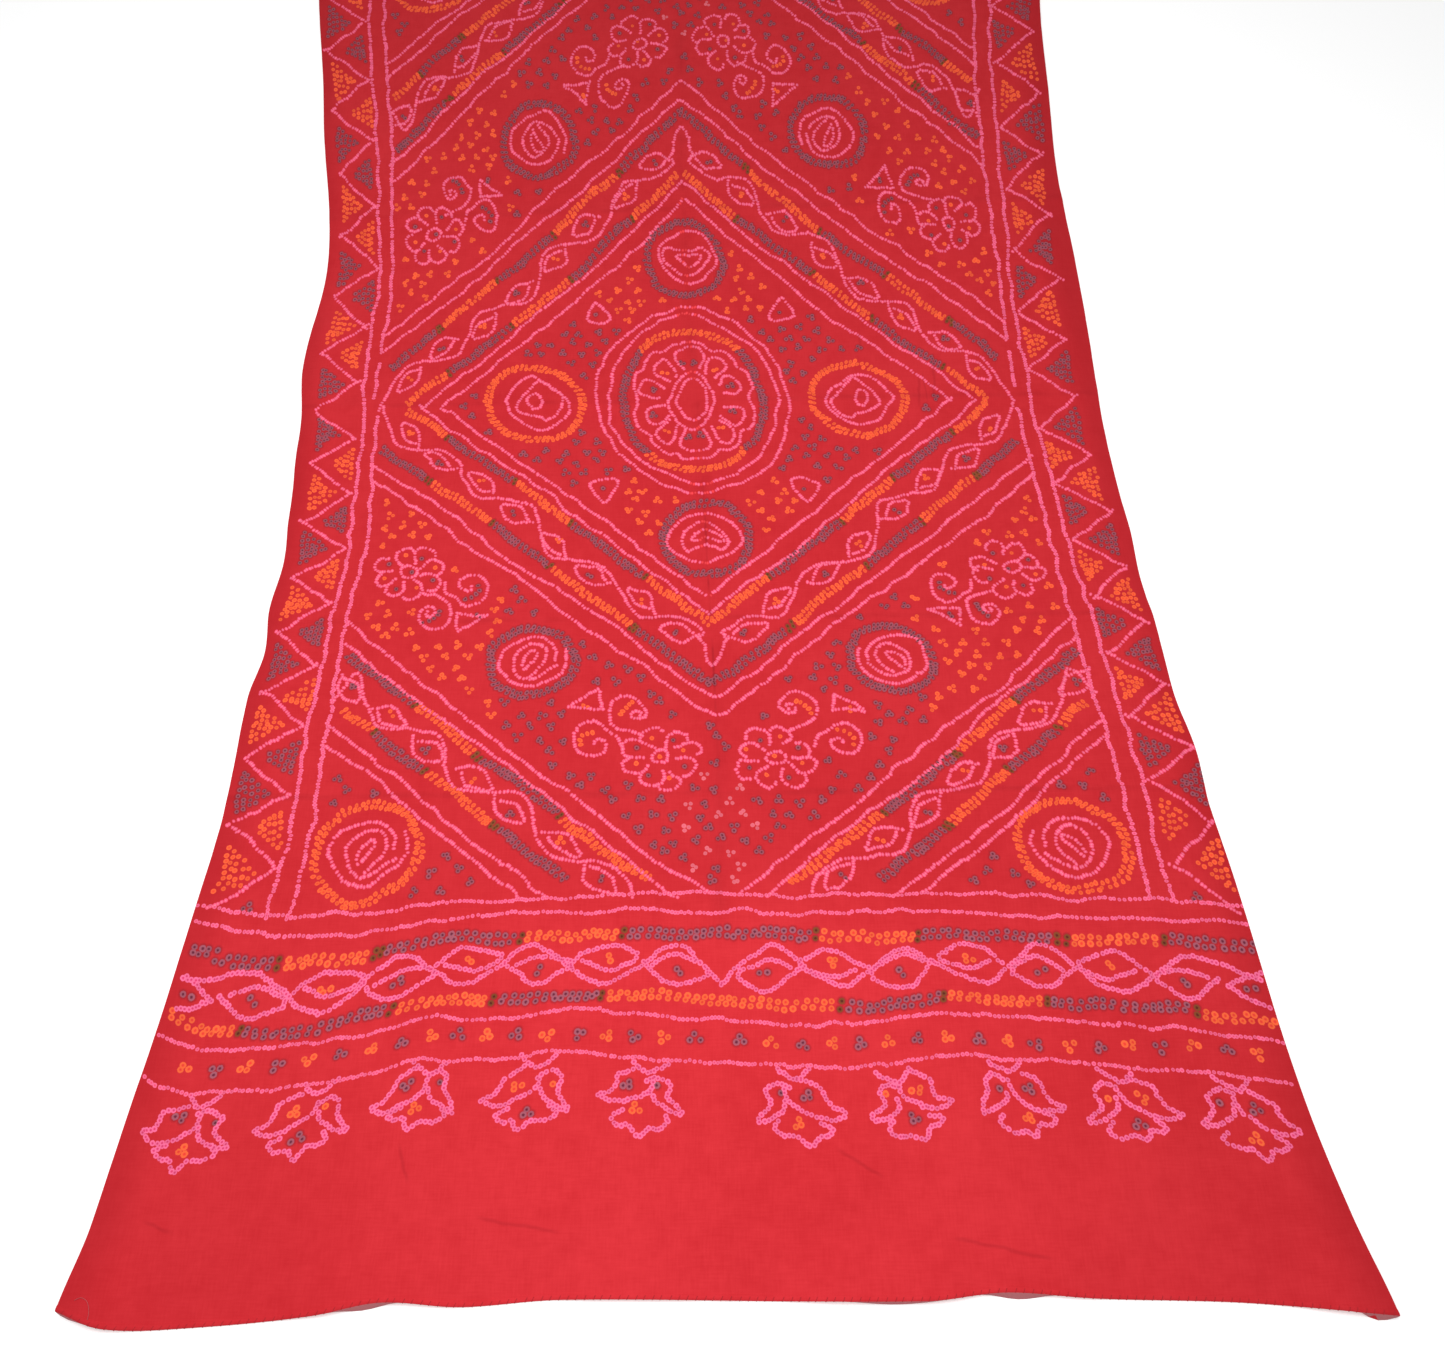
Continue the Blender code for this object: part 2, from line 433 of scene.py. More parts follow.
def borders():
    """The double lines down both sides, the zigzag outside them and its clusters."""
    for side in (-1, 1):
        line([(side * BORDER_OUTER, -FIELD_END), (side * BORDER_OUTER, FIELD_END)], FINE)
        line([(side * BORDER_INNER, -FIELD_END), (side * BORDER_INNER, -0.012)], FINE)
        line([(side * BORDER_INNER, 0.012), (side * BORDER_INNER, FIELD_END)], FINE,
             gaps=((0.085, 0.11),))
        for k in range(-ZIGZAG_COUNT, ZIGZAG_COUNT + 1):
            tip = (side * ZIGZAG_TIP, k * ZIGZAG_PITCH)
            zigzag_tip_cluster(side, k)
            if k < ZIGZAG_COUNT:
                foot = (side * ZIGZAG_INNER, (k + 0.5) * ZIGZAG_PITCH)
                line([tip, foot], PINK)
                line([foot, (side * ZIGZAG_TIP, (k + 1) * ZIGZAG_PITCH)], PINK)
                zigzag_edge_cluster(side, k)


def triangle(form, side, middle, kind):
    """Rows of dots across the cloth that narrow to a point."""
    for row, count in enumerate(form["counts"]):
        for i in range(count):
            t = middle + (i - (count - 1) / 2) * form["pitch"]
            add(side * (form["from"] + row * form["step"]), t, kind, 0, 0.0005)


def zigzag_edge_cluster(side, k):
    """The triangle of dots against the cloth's edge between two tips."""
    gap = k if k >= 0 else -k - 1
    triangle(EDGE_TRIANGLE, side, (k + 0.5) * ZIGZAG_PITCH, ORANGE if gap % 2 else GREY)


def zigzag_tip_cluster(side, k):
    """The triangle of dots inside a tip of the zigzag, or a small cluster at its ends."""
    if abs(k) == ZIGZAG_COUNT:
        cluster(side * 0.378, k * ZIGZAG_PITCH * 0.985, GREY, 3)
    elif k:
        triangle(TIP_TRIANGLE, side, k * ZIGZAG_PITCH, ORANGE if k % 2 else GREY)


# Leaf on a vine, in millimetres: X from the stem to its tip, Y away from the vine
LEAF_FAR_SIDE = ((-26, -6), (-18, 3), (-9, 12), (2, 14), (10, 12), (24, 4))
LEAF_NEAR_SIDE = ((24, 4), (23, -3), (13, -9), (3, -13), (-6, -11), (-17, -5))


def leaf(centre, way, away, kind, pink, length=1.0, width=1.0):
    """One outlined leaf with a cluster in it, its tip along way and its belly on away's side."""
    pitch = BOLD_PITCH if pink == BOLD else PITCH
    seed = chance.uniform(0, 90)
    for points in (LEAF_FAR_SIDE, LEAF_NEAR_SIDE):
        curve = []
        for x, y in smooth(points):
            x, y = x * length * 0.001, y * width * 0.001
            curve.append((centre[0] + x * way[0] + y * away[0],
                          centre[1] + x * way[1] + y * away[1]))
        line(curve, pink, pitch, seed)
    cluster(centre[0], centre[1], kind, 3 if chance.random() < 0.5 else 2)


# A vine's leaves: how far each lies back on its stem and off it, and its length and width
LEAF_BACK = 0.004
LEAF_OFF = 0.0022
LEAF_LONG, LEAF_WIDE = 0.74, 0.64


def vine(leaves, belly, swing, tail):
    """A waved stem with leaves; each leaf is a centre, a kind and the stem's side, 1 or -1."""
    path = []
    for i, (centre, kind, side) in enumerate(leaves):
        behind = leaves[i - 1][0] if i else tail
        ahead = leaves[i + 1][0] if 0 < i < len(leaves) - 1 else centre
        size = math.hypot(ahead[0] - behind[0], ahead[1] - behind[1])
        way = ((ahead[0] - behind[0]) / size, (ahead[1] - behind[1]) / size)
        away = (-way[1] * belly, way[0] * belly)
        path.append((centre[0] + away[0] * side * swing - way[0] * LEAF_BACK,
                     centre[1] + away[1] * side * swing - way[1] * LEAF_BACK))
        off = (-away[0] * side, -away[1] * side)
        middle = (centre[0] + off[0] * LEAF_OFF, centre[1] + off[1] * LEAF_OFF)
        leaf(middle, way, off, kind, PINK, LEAF_LONG, LEAF_WIDE)
    return path


# Diamonds of the field: where a double line crosses the centre line and the border
OUTER_DIAMOND = named("tip side", (0.364, 0.090), (0.344, 0.070))
INNER_DIAMOND = named("tip side", (0.2555, 0.2920), (0.2370, 0.2675))
DIAMOND_LEAVES = named(
    "a t kind side",
    (0.0310, 0.2765, GREY, -1),
    (0.0660, 0.2430, ORANGE, 1),
    (0.1120, 0.2110, GREY, -1),
    (0.1510, 0.1760, ORANGE, 1),
    (0.1900, 0.1370, GREY, -1),
    (0.2280, 0.1020, ORANGE, 1),
    (0.2690, 0.0720, GREY, -1),
    (0.3040, 0.0370, ORANGE, 1),
)
# Where the vine starts: its stem at the diamond's tip, and its arch over the first leaf
DIAMOND_STEM = ((0.0005, 0.3140), (0.0077, 0.3040), (0.0102, 0.2910), (0.0150, 0.2835))
DIAMOND_ARCH = ((0.0120, 0.2825), (0.0085, 0.2745), (0.0230, 0.2655), (0.0385, 0.2600))


def diamonds():
    """The two diamonds of double lines, with two pair rows and a leaved vine between them."""
    outer_row = banded((0.073, 0.155, 0.215, 0.278), (GREY, ORANGE, GREY, ORANGE, GREY))
    inner_row = banded((0.060, 0.134, 0.195, 0.262), (ORANGE, GREY, ORANGE, GREY, ORANGE))
    for end in (-1, 1):
        for edge in OUTER_DIAMOND:
            tip, side = edge["tip"] * end, edge["side"] * end
            round_tip = (edge["tip"] - 0.006) * end
            line([(-BORDER_INNER, side), (-0.010, round_tip), (0, tip),
                  (0.010, round_tip), (BORDER_INNER, side)])
    for edge in INNER_DIAMOND:
        for sign_a, sign_t in QUARTERS:
            line([(0.002 * sign_a, edge["tip"] * sign_t), (edge["side"] * sign_a, 0)])
    for sign_a, sign_t in QUARTERS:
        pairs([(0.003 * sign_a, 0.331 * sign_t), (0.330 * sign_a, 0.052 * sign_t)],
              outer_row, lean=-0.20 * sign_a * sign_t)
        pairs([(0.004 * sign_a, 0.266 * sign_t), (0.305 * sign_a, 0.004 * sign_t)],
              inner_row, lean=-0.20 * sign_a * sign_t)
        leaves = [((row["a"] * sign_a, row["t"] * sign_t), row["kind"], row["side"])
                  for row in DIAMOND_LEAVES]
        # The belly side is the outer one, where both coordinates grow
        stem, arch = ([(a * sign_a, t * sign_t) for a, t in points]
                      for points in (DIAMOND_STEM, DIAMOND_ARCH))
        path = vine(leaves, sign_a * sign_t, 0.0138, stem[-1])
        line(smooth(stem))
        line(smooth(arch + path[1:] + [(0.337 * sign_a, 0.0)]))


# Round medallions: place, size across and along, kind of dot and the drawing inside
MEDALLIONS = named(
    "a t wide long kind inside",
    (0.000, 0.171, 0.0470, 0.0454, GREY, "moon"),
    (0.170, 0.000, 0.0530, 0.0496, ORANGE, "eye"),
    (0.167, 0.306, 0.0460, 0.0400, GREY, "coil"),
    (0.292, 0.491, 0.0473, 0.0438, ORANGE, "coil"),
)

# Drawings inside the medallions, in millimetres: X away from the centre line, and Y towards
# the middle of the panel. A closed drawing ends where it starts.
INSIDES = {
    "moon": (
        {"closed": True, "points": ((0, 29), (17, 25), (31, 9), (33, -7), (21, -22), (3, -29),
                                    (-17, -23), (-32, -9), (-31, 7), (-17, 24))},
        {"closed": True, "points": ((-25, -6), (-21, 5), (-8, 16), (6, 16), (20, 6), (25, -7),
                                    (18, -14), (8, -10), (-6, -10), (-19, -13))},
        {"closed": True, "points": ((-16, -3), (-6, 7), (2, 10), (15, -2), (9, -5), (0, -1),
                                    (-8, -4))},
    ),
    "eye": (
        {"closed": True, "points": ((33, -1), (26, 12), (13, 26), (-4, 31), (-22, 24), (-35, 8),
                                    (-35, -7), (-22, -20), (-6, -32), (4, -34), (16, -26),
                                    (29, -9))},
        {"closed": True, "points": ((22, 2), (12, 14), (-2, 17), (-9, 22), (-20, 16), (-28, 1),
                                    (-22, -10), (-10, -21), (-1, -25), (9, -17))},
        {"closed": False, "points": ((4, 9), (-4, 7), (-6, -1), (-1, -11), (7, -7), (8, 1),
                                     (5, 6))},
    ),
    "coil": (
        {"closed": False, "points": ((-29, 12), (-32, -3), (-26, -15), (-14, -23), (0, -28),
                                     (17, -21), (28, -9), (30, 4), (23, 17), (6, 25),
                                     (-11, 22), (-21, 11), (-22, -1))},
        {"closed": False, "points": ((-22, -6), (-11, -14), (1, -18), (12, -12), (17, 0),
                                     (14, 11), (4, 18), (-8, 16), (-14, 7), (-11, -3),
                                     (0, -15))},
        {"closed": False, "points": ((9, -4), (7, 4), (1, 11), (-5, 10), (-3, 3), (7, -8))},
    ),
}


def circle(centre, radius, along_radius=None, start=0.0, turn=math.tau):
    """Points of an arc about a centre."""
    along_radius = radius if along_radius is None else along_radius
    count = max(12, int(abs(turn) * 8))
    return [(centre[0] + radius * math.cos(start + turn * i / count),
             centre[1] + along_radius * math.sin(start + turn * i / count))
            for i in range(count + 1)]


def medallions():
    """The round motifs: a ring of pairs and a drawing in it."""
    for row in MEDALLIONS:
        for sign_a, sign_t in QUARTERS:
            if row["a"] == 0 and sign_a < 0 or row["t"] == 0 and sign_t < 0:
                continue
            centre = (row["a"] * sign_a, row["t"] * sign_t)
            ring = circle(centre, row["wide"] - 0.0045, row["long"] - 0.0045)
            pairs(ring, lambda a, t: row["kind"])
            for drawing in INSIDES[row["inside"]]:
                points = placed(drawing["points"], centre, sides=(sign_a, -sign_t))
                line(smooth(points, closed=drawing["closed"]))


# The centre medallion: its middle, its two outlines with how far they dip at the centre line,
# its ring of pairs, its scalloped edge and the lenses at its heart
CENTRE = (-0.004, 0.0)
CENTRE_OUTLINES = named("wide long dip", (0.1020, 0.1140, 0.0035), (0.0890, 0.1020, 0.0045))
CENTRE_DIP_HALF = 0.022
CENTRE_PAIRS = (0.0750, 0.0870)
CENTRE_LENSES = ((0.0255, 0.0365), (0.0155, 0.0270))
LENS_LINE = ((0.0, 1.0), (0.55, 0.72), (1.0, 0.0), (0.60, -0.66), (0.0, -1.0), (-0.60, -0.66),
             (-1.0, 0.0), (-0.55, 0.72))
# Its petals over half a turn: direction, half width, and the dots in each; and a petal's line,
# in its half width and the medallion's radius
HALF_PETALS = named(
    "turn half kind spread",
    (20, 15, GREY, 0),
    (51, 14, ORANGE, 0),
    (90, 23, GREY, 10),
    (129, 14, ORANGE, 0),
    (160, 15, GREY, 0),
)
PETALS = [dict(row, turn=row["turn"] + more) for more in (0, 180) for row in HALF_PETALS]
PETAL_LINE = ((-0.62, 0.52), (-0.84, 0.72), (-0.62, 0.85), (0.0, 0.88), (0.62, 0.85),
              (0.84, 0.72), (0.62, 0.52))
SCALLOP_WIDE, SCALLOP_LONG = 0.0630, 0.0745


def centre_medallion():
    """The large oval medallion at the middle of the panel."""
    for row in CENTRE_OUTLINES:
        outline = []
        for a, t in circle(CENTRE, row["wide"], row["long"]):
            point = max(0.0, 1 - abs(a - CENTRE[0]) / CENTRE_DIP_HALF)
            outline.append((a, t + point * row["dip"] * (-1 if t < 0 else 1)))
        line(outline)

    def kind_at(a, t):
        angle = math.degrees(math.atan2(abs(t), abs(a - CENTRE[0])))
        return ORANGE if angle > 52 else GREY

    pairs(circle(CENTRE, *CENTRE_PAIRS), kind_at)
    scallop = []
    for row in PETALS:
        for share, radius in ((-1, 0.93), (-0.5, 1.00), (0.5, 1.00)):
            scallop.append(centre_spot(row["turn"] + row["half"] * share, radius))
    line(smooth(scallop, closed=True))
    for row in PETALS:
        line(smooth([centre_spot(row["turn"] + row["half"] * share, radius)
                     for share, radius in PETAL_LINE]))
        for side in ((-1, 1) if row["spread"] else (0,)):
            a, t = centre_spot(row["turn"] + row["spread"] * side, 0.66)
            cluster(a, t, row["kind"], 3 if row["kind"] == GREY else 2)
    for wide, long in CENTRE_LENSES:
        line(smooth([(CENTRE[0] + a * wide, t * long) for a, t in LENS_LINE], closed=True))


def centre_spot(turn, radius):
    """A place in the centre medallion by its direction, in degrees, and its share of the radius."""
    angle = math.radians(turn)
    return (CENTRE[0] + SCALLOP_WIDE * radius * math.cos(angle),
            CENTRE[1] + SCALLOP_LONG * radius * math.sin(angle))


# Drop between the medallions, in millimetres: Y towards the middle of the panel
DROP = ((-13, 8), (0, 12), (13, 7), (13, 0), (4, -13), (0, -14), (-8, -5))


def teardrops():
    """Four small drops between the medallions of the inner diamond."""
    for sign_a, sign_t in QUARTERS:
        centre = (0.100 * sign_a, 0.111 * sign_t)
        line(smooth(placed(DROP, centre, sides=(sign_a, -sign_t)), closed=True))
        cluster(centre[0], centre[1], GREY, 1)


# Flowers: the place of each, the kind of dot at its heart and in its curls, and whether its
# curls point to the middle of the panel and outwards, or the other way
FLOWERS = named(
    "a t heart curl turned",
    (0.0495, 0.4075, ORANGE, ORANGE, 1),
    (0.2930, 0.2060, GREY, GREY, -1),
)
FLOWER_WIDE, FLOWER_LONG = 0.0345, 0.0300
CURL_AXIS = math.radians(39.5)

# Curls beside a flower, in millimetres from its centre: X along the curls' axis. Each has a stem,
# a ring that it winds along, an eye that it falls into, and a row of dots between the two.
CURLS = (
    {"hand": 1, "stem": ((29, 9), (47, 2.5)), "ring": (52.5, 18), "radius": 17.5,
     "eye": (47.5, 21), "start": -68, "turn": 600, "falls": (0.20, 0.52),
     "dots": ((56.5, 11), (58.5, 15), (58.5, 19), (58, 23), (56, 27))},
    {"hand": -1, "stem": ((35, 14), (46, 8.5)), "ring": (61, 25.5), "radius": 16.0,
     "eye": (57, 25.5), "start": -108, "turn": 520, "falls": (0.48, 0.72),
     "dots": ((64, 33), (67.5, 30), (68, 26), (66, 20.5), (63, 16))},
)
TRIANGLE = ((71, -1), (95, -18), (87, 13))


def curl(row):
    """A stem that winds into a spiral, in millimetres from a flower's centre."""
    points = list(row["stem"])
    low, high = row["falls"]
    for step in range(25):
        part = step / 24
        fallen = min(max((part - low) / (high - low), 0.0), 1.0)
        fallen = fallen * fallen * (3 - 2 * fallen)
        radius = row["radius"] * (1 - fallen) + (7 - 4 * part) * fallen
        angle = math.radians(row["start"] + row["turn"] * part)
        centre = [ring * (1 - fallen) + eye * fallen for ring, eye in zip(row["ring"], row["eye"])]
        points.append((centre[0] + radius * math.cos(angle), centre[1] + radius * math.sin(angle)))
    return points


def flowers():
    """The eight-petalled flowers, each with two curls and a small triangle."""
    for row in FLOWERS:
        for sign_a, sign_t in QUARTERS:
            centre = (row["a"] * sign_a, row["t"] * sign_t)
            flower(centre, row["heart"], sign_a)
            out = (sign_a * row["turned"], -sign_t * row["turned"])
            for side in CURLS:
                drawing = curl(side)
                both = [(x, y * side["hand"]) for x, y in drawing + list(side["dots"])]
                both = placed(both, centre, CURL_AXIS, sides=out)
                line(smooth(both[:len(drawing)]))
                line(both[len(drawing):], row["curl"], 0.0046)
            corners = placed(TRIANGLE, centre, CURL_AXIS, sides=out)
            line(corners + corners[:1])
            middle = placed(((86, -2),), centre, CURL_AXIS, sides=out)[0]
            cluster(middle[0], middle[1], row["curl"], 2)


def flower(centre, kind, sign_a):
    """One flower: eight petals about a small ring."""
    line(circle(centre, 0.0076, 0.0066))
    cluster(centre[0], centre[1], kind, 1)
    wide = math.pi / 8
    shape = ((0.42, -wide * 0.75), (0.80, -wide * 0.98), (1.0, -0.14), (1.0, 0.16),
             (0.84, wide * 0.80))
    for k in range(8):
        angle = math.tau * (k + 0.5) / 8 + 0.1
        points = [(centre[0] + FLOWER_WIDE * r * math.cos(angle + off) * sign_a,
                   centre[1] + FLOWER_LONG * r * math.sin(angle + off)) for r, off in shape]
        line(smooth(points))
        middle = (centre[0] + FLOWER_WIDE * 0.70 * math.cos(angle) * sign_a,
                  centre[1] + FLOWER_LONG * 0.70 * math.sin(angle))
        cluster(middle[0], middle[1], ORANGE if k % 2 else GREY, 1)


# Bands that cut off the field's corners: the ends of their double lines, and how the vine's
# leaves follow each other
CORNER_LINES = (
    ((0.3435, 0.264), (0.014, FIELD_END)),
    ((0.3435, 0.283), (0.036, FIELD_END)),
    ((0.3435, 0.373), (0.142, FIELD_END)),
    ((0.3435, 0.389), (0.163, FIELD_END)),
)
CORNER_LEAVES = {"count": 7, "a": 0.329, "t": 0.3310, "step_a": -0.0385, "step_t": 0.0315}


def corner_bands():
    """Double lines, pair rows and a vine across each corner of the field."""
    first_row = banded((0.137, 0.2095, 0.2715), (ORANGE, GREY, ORANGE, GREY))
    second_row = banded((0.1895, 0.2549, 0.3053), (GREY, ORANGE, GREY, ORANGE))
    for sign_a, sign_t in QUARTERS:
        def across(a, t):
            return a * sign_a, t * sign_t
        for start, end in CORNER_LINES:
            line([across(*start), across(*end)])
        pairs([across(0.336, 0.298), across(0.058, 0.5255)], first_row,
              lean=0.20 * sign_a * sign_t)
        pairs([across(0.333, 0.3555), across(0.128, 0.522)], second_row,
              lean=0.20 * sign_a * sign_t)
        leaves = []
        for n in range(CORNER_LEAVES["count"]):
            centre = across(CORNER_LEAVES["a"] + n * CORNER_LEAVES["step_a"],
                            CORNER_LEAVES["t"] + n * CORNER_LEAVES["step_t"])
            leaves.append((centre, ORANGE if n % 2 else GREY, 1 if n % 2 else -1))
        path = vine(leaves, -sign_a * sign_t, 0.0132, across(0.3483, 0.3152))
        line(smooth([across(0.3435, 0.345)] + path + [across(0.072, 0.5340)]))


# Band at each end of the field: how far each row is from the middle of the panel
END_ROWS = {"A": 0.5375, "B": 0.552, "pairs 1": 0.572, "vine": 0.5975, "pairs 2": 0.6270,
            "C": 0.6415, "triples": 0.6580, "D": 0.6765, "tulips": 0.7065}
LEAF_START = 0.035
LEAF_PITCH = 0.0535
TULIP_START = 0.0565
TULIP_PITCH = 0.0795
TULIP_SIZE = 0.90
TULIP_COUNT = 5
TRIPLE_START = 0.017
TRIPLE_PITCH = 0.0221
TRIPLE_COUNT = 18
END_PITCH = 0.0033
BAND_PAIRS = {"pitch": 0.0070, "reach": 0.0028, "lean": 0.35}

# Tulip, in millimetres: X away from the centre line, Y towards the hem
TULIP = {
    "stem": ((-20, -30), (-4, -20), (6, -30)),
    "broad leaf": ((5, -24), (20, -16), (22, -8), (26, 0), (35, 4), (24, 9), (10, 6), (-4, -4),
                   (-7, -15)),
    "narrow leaf": ((-7, -15), (-16, -19), (-26, -13), (-24, -1), (-34, 14), (-26, 14),
                    (-13, 5), (-10, -4)),
    "cup": ((15, 13), (23, 18), (18, 24), (10, 24), (5, 34), (-4, 27), (-14, 27), (-22, 22),
            (-18, 15)),
}


def end_bands():
    """The band of rows, vine and tulips at each end of the field."""
    first = banded((0.080, 0.159, 0.270, 0.344),
                   (BAND_GREY, BAND_ORANGE, BAND_GREY, BAND_ORANGE, BAND_GREY), BAND_OLIVE, 0.0034)
    second = banded((0.087, 0.1715, 0.252, 0.356),
                    (BAND_ORANGE, BAND_GREY, BAND_ORANGE, BAND_GREY, BAND_ORANGE), BAND_OLIVE,
                    0.0034)
    for end in (-1, 1):
        for name, edge in (("A", 0.412), ("B", 0.414), ("C", 0.414), ("D", 0.413)):
            line([(-edge, END_ROWS[name] * end), (edge, END_ROWS[name] * end)], FINE, END_PITCH)
        for name, rule in (("pairs 1", first), ("pairs 2", second)):
            row = [(-0.410, END_ROWS[name] * end), (0.410, END_ROWS[name] * end)]
            pairs(row, rule, **BAND_PAIRS)
        for side in (-1, 1):
            end_vine(side, end)
            for n in range(TRIPLE_COUNT):
                cluster(side * (TRIPLE_START + TRIPLE_PITCH * n), END_ROWS["triples"] * end,
                        BAND_ORANGE if n % 2 else BAND_GREY, 3)
            for n in range(TULIP_COUNT):
                centre = (side * (TULIP_START + TULIP_PITCH * n), END_ROWS["tulips"] * end)
                both = (BAND_ORANGE, BAND_GREY) if n % 2 else (BAND_GREY, BAND_ORANGE)
                tulip(centre, side, end, *both)


def end_vine(side, end):
    """Half of an end band's vine, from the centre line to the cloth's edge."""
    middle = END_ROWS["vine"] * end
    path = [(0.0, middle + 0.0150 * end)]
    for n in range(8):
        grey = n % 2 == 0
        belly = end if grey else -end
        off = 0.0050 if grey else -0.0030
        centre = (side * (LEAF_START + LEAF_PITCH * n), middle + off * end)
        if n < 7:
            path.append((centre[0] + side * 0.003, middle - 0.0172 * belly))
            leaf(centre, (-side, 0), (0, belly), BAND_GREY if grey else BAND_ORANGE, BOLD,
                 0.98, 0.90 if grey else 0.76)
    path.append((side * 0.412, middle - 0.004 * end))
    line(smooth(path), BOLD, BOLD_PITCH)
    edge = middle + 0.006 * end
    half_leaf = ((0.411, edge - 0.013 * end), (0.398, edge - 0.008 * end), (0.386, edge),
                 (0.398, edge + 0.009 * end), (0.412, edge + 0.015 * end))
    line([(side * a, t) for a, t in half_leaf], BOLD, BOLD_PITCH)
    cluster(side * 0.404, edge, BAND_GREY, 2)


def tulip(centre, side, end, upper, lower):
    """One hanging tulip with clusters of dots in its leaves and its cup."""
    for points in TULIP.values():
        drawing = placed(points, centre, 0, TULIP_SIZE, (side, end))
        line(smooth(drawing, steps=6), BOLD, BOLD_PITCH)
    for x, y, kind, count in ((9, -8, upper, 3), (-17, -8, upper, 1), (0, 16, lower, 3)):
        a, t = placed(((x, y),), centre, 0, TULIP_SIZE, (side, end))[0]
        cluster(a, t, kind, count)


# Small clusters strewn over the ground of the field
STREW_PITCH = 0.0198
STREW_ROW = 0.0125
KEEP_OFF = 0.0092


def ground_kind(a, t):
    """The kind of dot strewn at a place of the field, or None where none is."""
    a, t = abs(a), abs(t)
    if a / 0.2675 + t / 0.237 < 0.97:
        return ORANGE if a < 0.12 and t > 0.10 else GREY
    if t > 0.364 - 0.797 * a + 0.006 and t < 0.264 + 0.831 * (BORDER_INNER - a) - 0.006:
        return (ORANGE if a > 0.195 else GREY) if a < BORDER_INNER - 0.006 else None
    in_corner = t > 0.389 + 0.80 * (BORDER_INNER - a) and t < FIELD_END - 0.004
    return GREY if in_corner and a < BORDER_INNER - 0.006 else None


def strewn_clusters():
    """Triples of dots over the field wherever the other motifs leave room."""
    tied = np.array([(dot[0], dot[1]) for dot in dots])
    for j in range(int(2 * FIELD_END / STREW_ROW) + 1):
        for i in range(-19, 20):
            a = (i + 0.5 * (j % 2)) * STREW_PITCH + chance.uniform(-0.0030, 0.0030)
            t = -FIELD_END + j * STREW_ROW + chance.uniform(-0.0024, 0.0024)
            kind = ground_kind(a, t)
            if kind is None or inside_medallion(a, t):
                continue
            if np.min(np.hypot(tied[:, 0] - a, tied[:, 1] - t)) > KEEP_OFF:
                faded = kind == GREY and abs(a) < 0.035 and abs(t) > 0.40 and chance.random() < 0.35
                cluster(a, t, PALE if faded else kind, 3)


def inside_medallion(a, t):
    """Whether a place is in a round motif, which has a drawing of its own."""
    if (a / 0.103) ** 2 + (t / 0.117) ** 2 < 1:
        return True
    return any(math.hypot((abs(a) - row["a"]) / row["wide"], (abs(t) - row["t"]) / row["long"]) < 1
               for row in MEDALLIONS)


# Where the cross creases lie in the pattern's own frame, along it, for the painted shade along them
CREASE_PLACES = (-0.442, -0.262, 0.000, 0.227)


def tie_dots():
    """The whole pattern as a list of dots."""
    borders()
    diamonds()
    medallions()
    centre_medallion()
    teardrops()
    flowers()
    corner_bands()
    end_bands()
    strewn_clusters()
    wear()
    settle()


# Worn dots: how near the fold line, how near it where it is worn most, and how many of them
WORN_BESIDE = 0.004
WORN_MOST = 0.013
WORN_SHARE = 0.70


def wear():
    """Turns pink dots on the cloth's old fold line to worn ones, nearly red again."""
    for i, (a, t, kind, *drawn) in enumerate(dots):
        beside = WORN_MOST if 0.085 < abs(t) < 0.125 else WORN_BESIDE
        on_fold = abs(a + 0.002) < beside and abs(t) < 0.25
        if kind == PINK and on_fold and chance.random() < WORN_SHARE:
            dots[i] = (a, t, WORN, *drawn)


def centre_stray(t):
    """How far the pattern's centre line strays across at places along it."""
    return along(STRAY, "along", "centre", np.clip(t, -0.70, 0.60))


# Where the borders' stray begins and how far it takes to grow whole, and where the band's begins
BORDER_STRAY_FROM, BORDER_STRAY_OVER = 0.27, 0.13
BAND_STRAY_FROM = 0.46


def rising(part):
    """A soft rise from 0 to 1."""
    part = np.clip(part, 0, 1)
    return part * part * (3 - 2 * part)


def settle():
    """Moves the dots from the plan to where the uneven tying put them."""
    a, t, kinds, drawn_a, drawn_t = np.array(dots).T
    inside = np.clip(t, STRAY[0]["along"], STRAY[-1]["along"])
    border = rising((np.abs(a) - BORDER_STRAY_FROM) / BORDER_STRAY_OVER)
    left, right = (along(STRAY, "along", side, inside) for side in ("left", "right"))
    edge = np.where(a < 0, left, right)
    a_new = a + centre_stray(t) * (1 - (a / HALF) ** 2) + edge * border
    in_band = rising((-BAND_STRAY_FROM - t) / (END_ROWS["A"] - BAND_STRAY_FROM))
    outward = np.clip((-END_ROWS["A"] - t) / (END_ROWS["D"] - END_ROWS["A"]), 0, 1)
    across = np.clip(a, -HALF, HALF)
    inner = along(BAND_STRAY, "across", "inner", across)
    outer = along(BAND_STRAY, "across", "outer", across)
    t_new = t + in_band * (inner * (1 - outward) + outer * outward)
    t_new += (1 - in_band) * LEAN_ALONG * np.maximum(a, 0) * (1 - border)
    t_new += border * along(STRAY, "along", "up", inside)
    dots[:] = zip(a_new, t_new, kinds, drawn_a, drawn_t)


def across_stations():
    """The grid's lines across the cloth, from -1 to 1, closer at the lengthwise crease."""
    even = np.linspace(-1, 1, COLUMNS + 1)
    return np.unique(np.round(np.concatenate((even, (-0.0035, 0.0035))), 6))


def length_stations():
    """The grid's lines along the cloth, closer at the hems and the cross creases."""
    even = np.linspace(0, LENGTH, round(LENGTH / ROW_STEP) + 1)
    hem = np.array((0.0008, 0.0022, 0.0040, HEM_TURN, 0.0052))
    creases = [crease["s"] + step for crease in CROSS_CREASES for step in (-0.0025, 0.0, 0.0025)]
    rows = np.concatenate((even, hem, LENGTH - hem, creases))
    return np.unique(np.round(rows, 6))


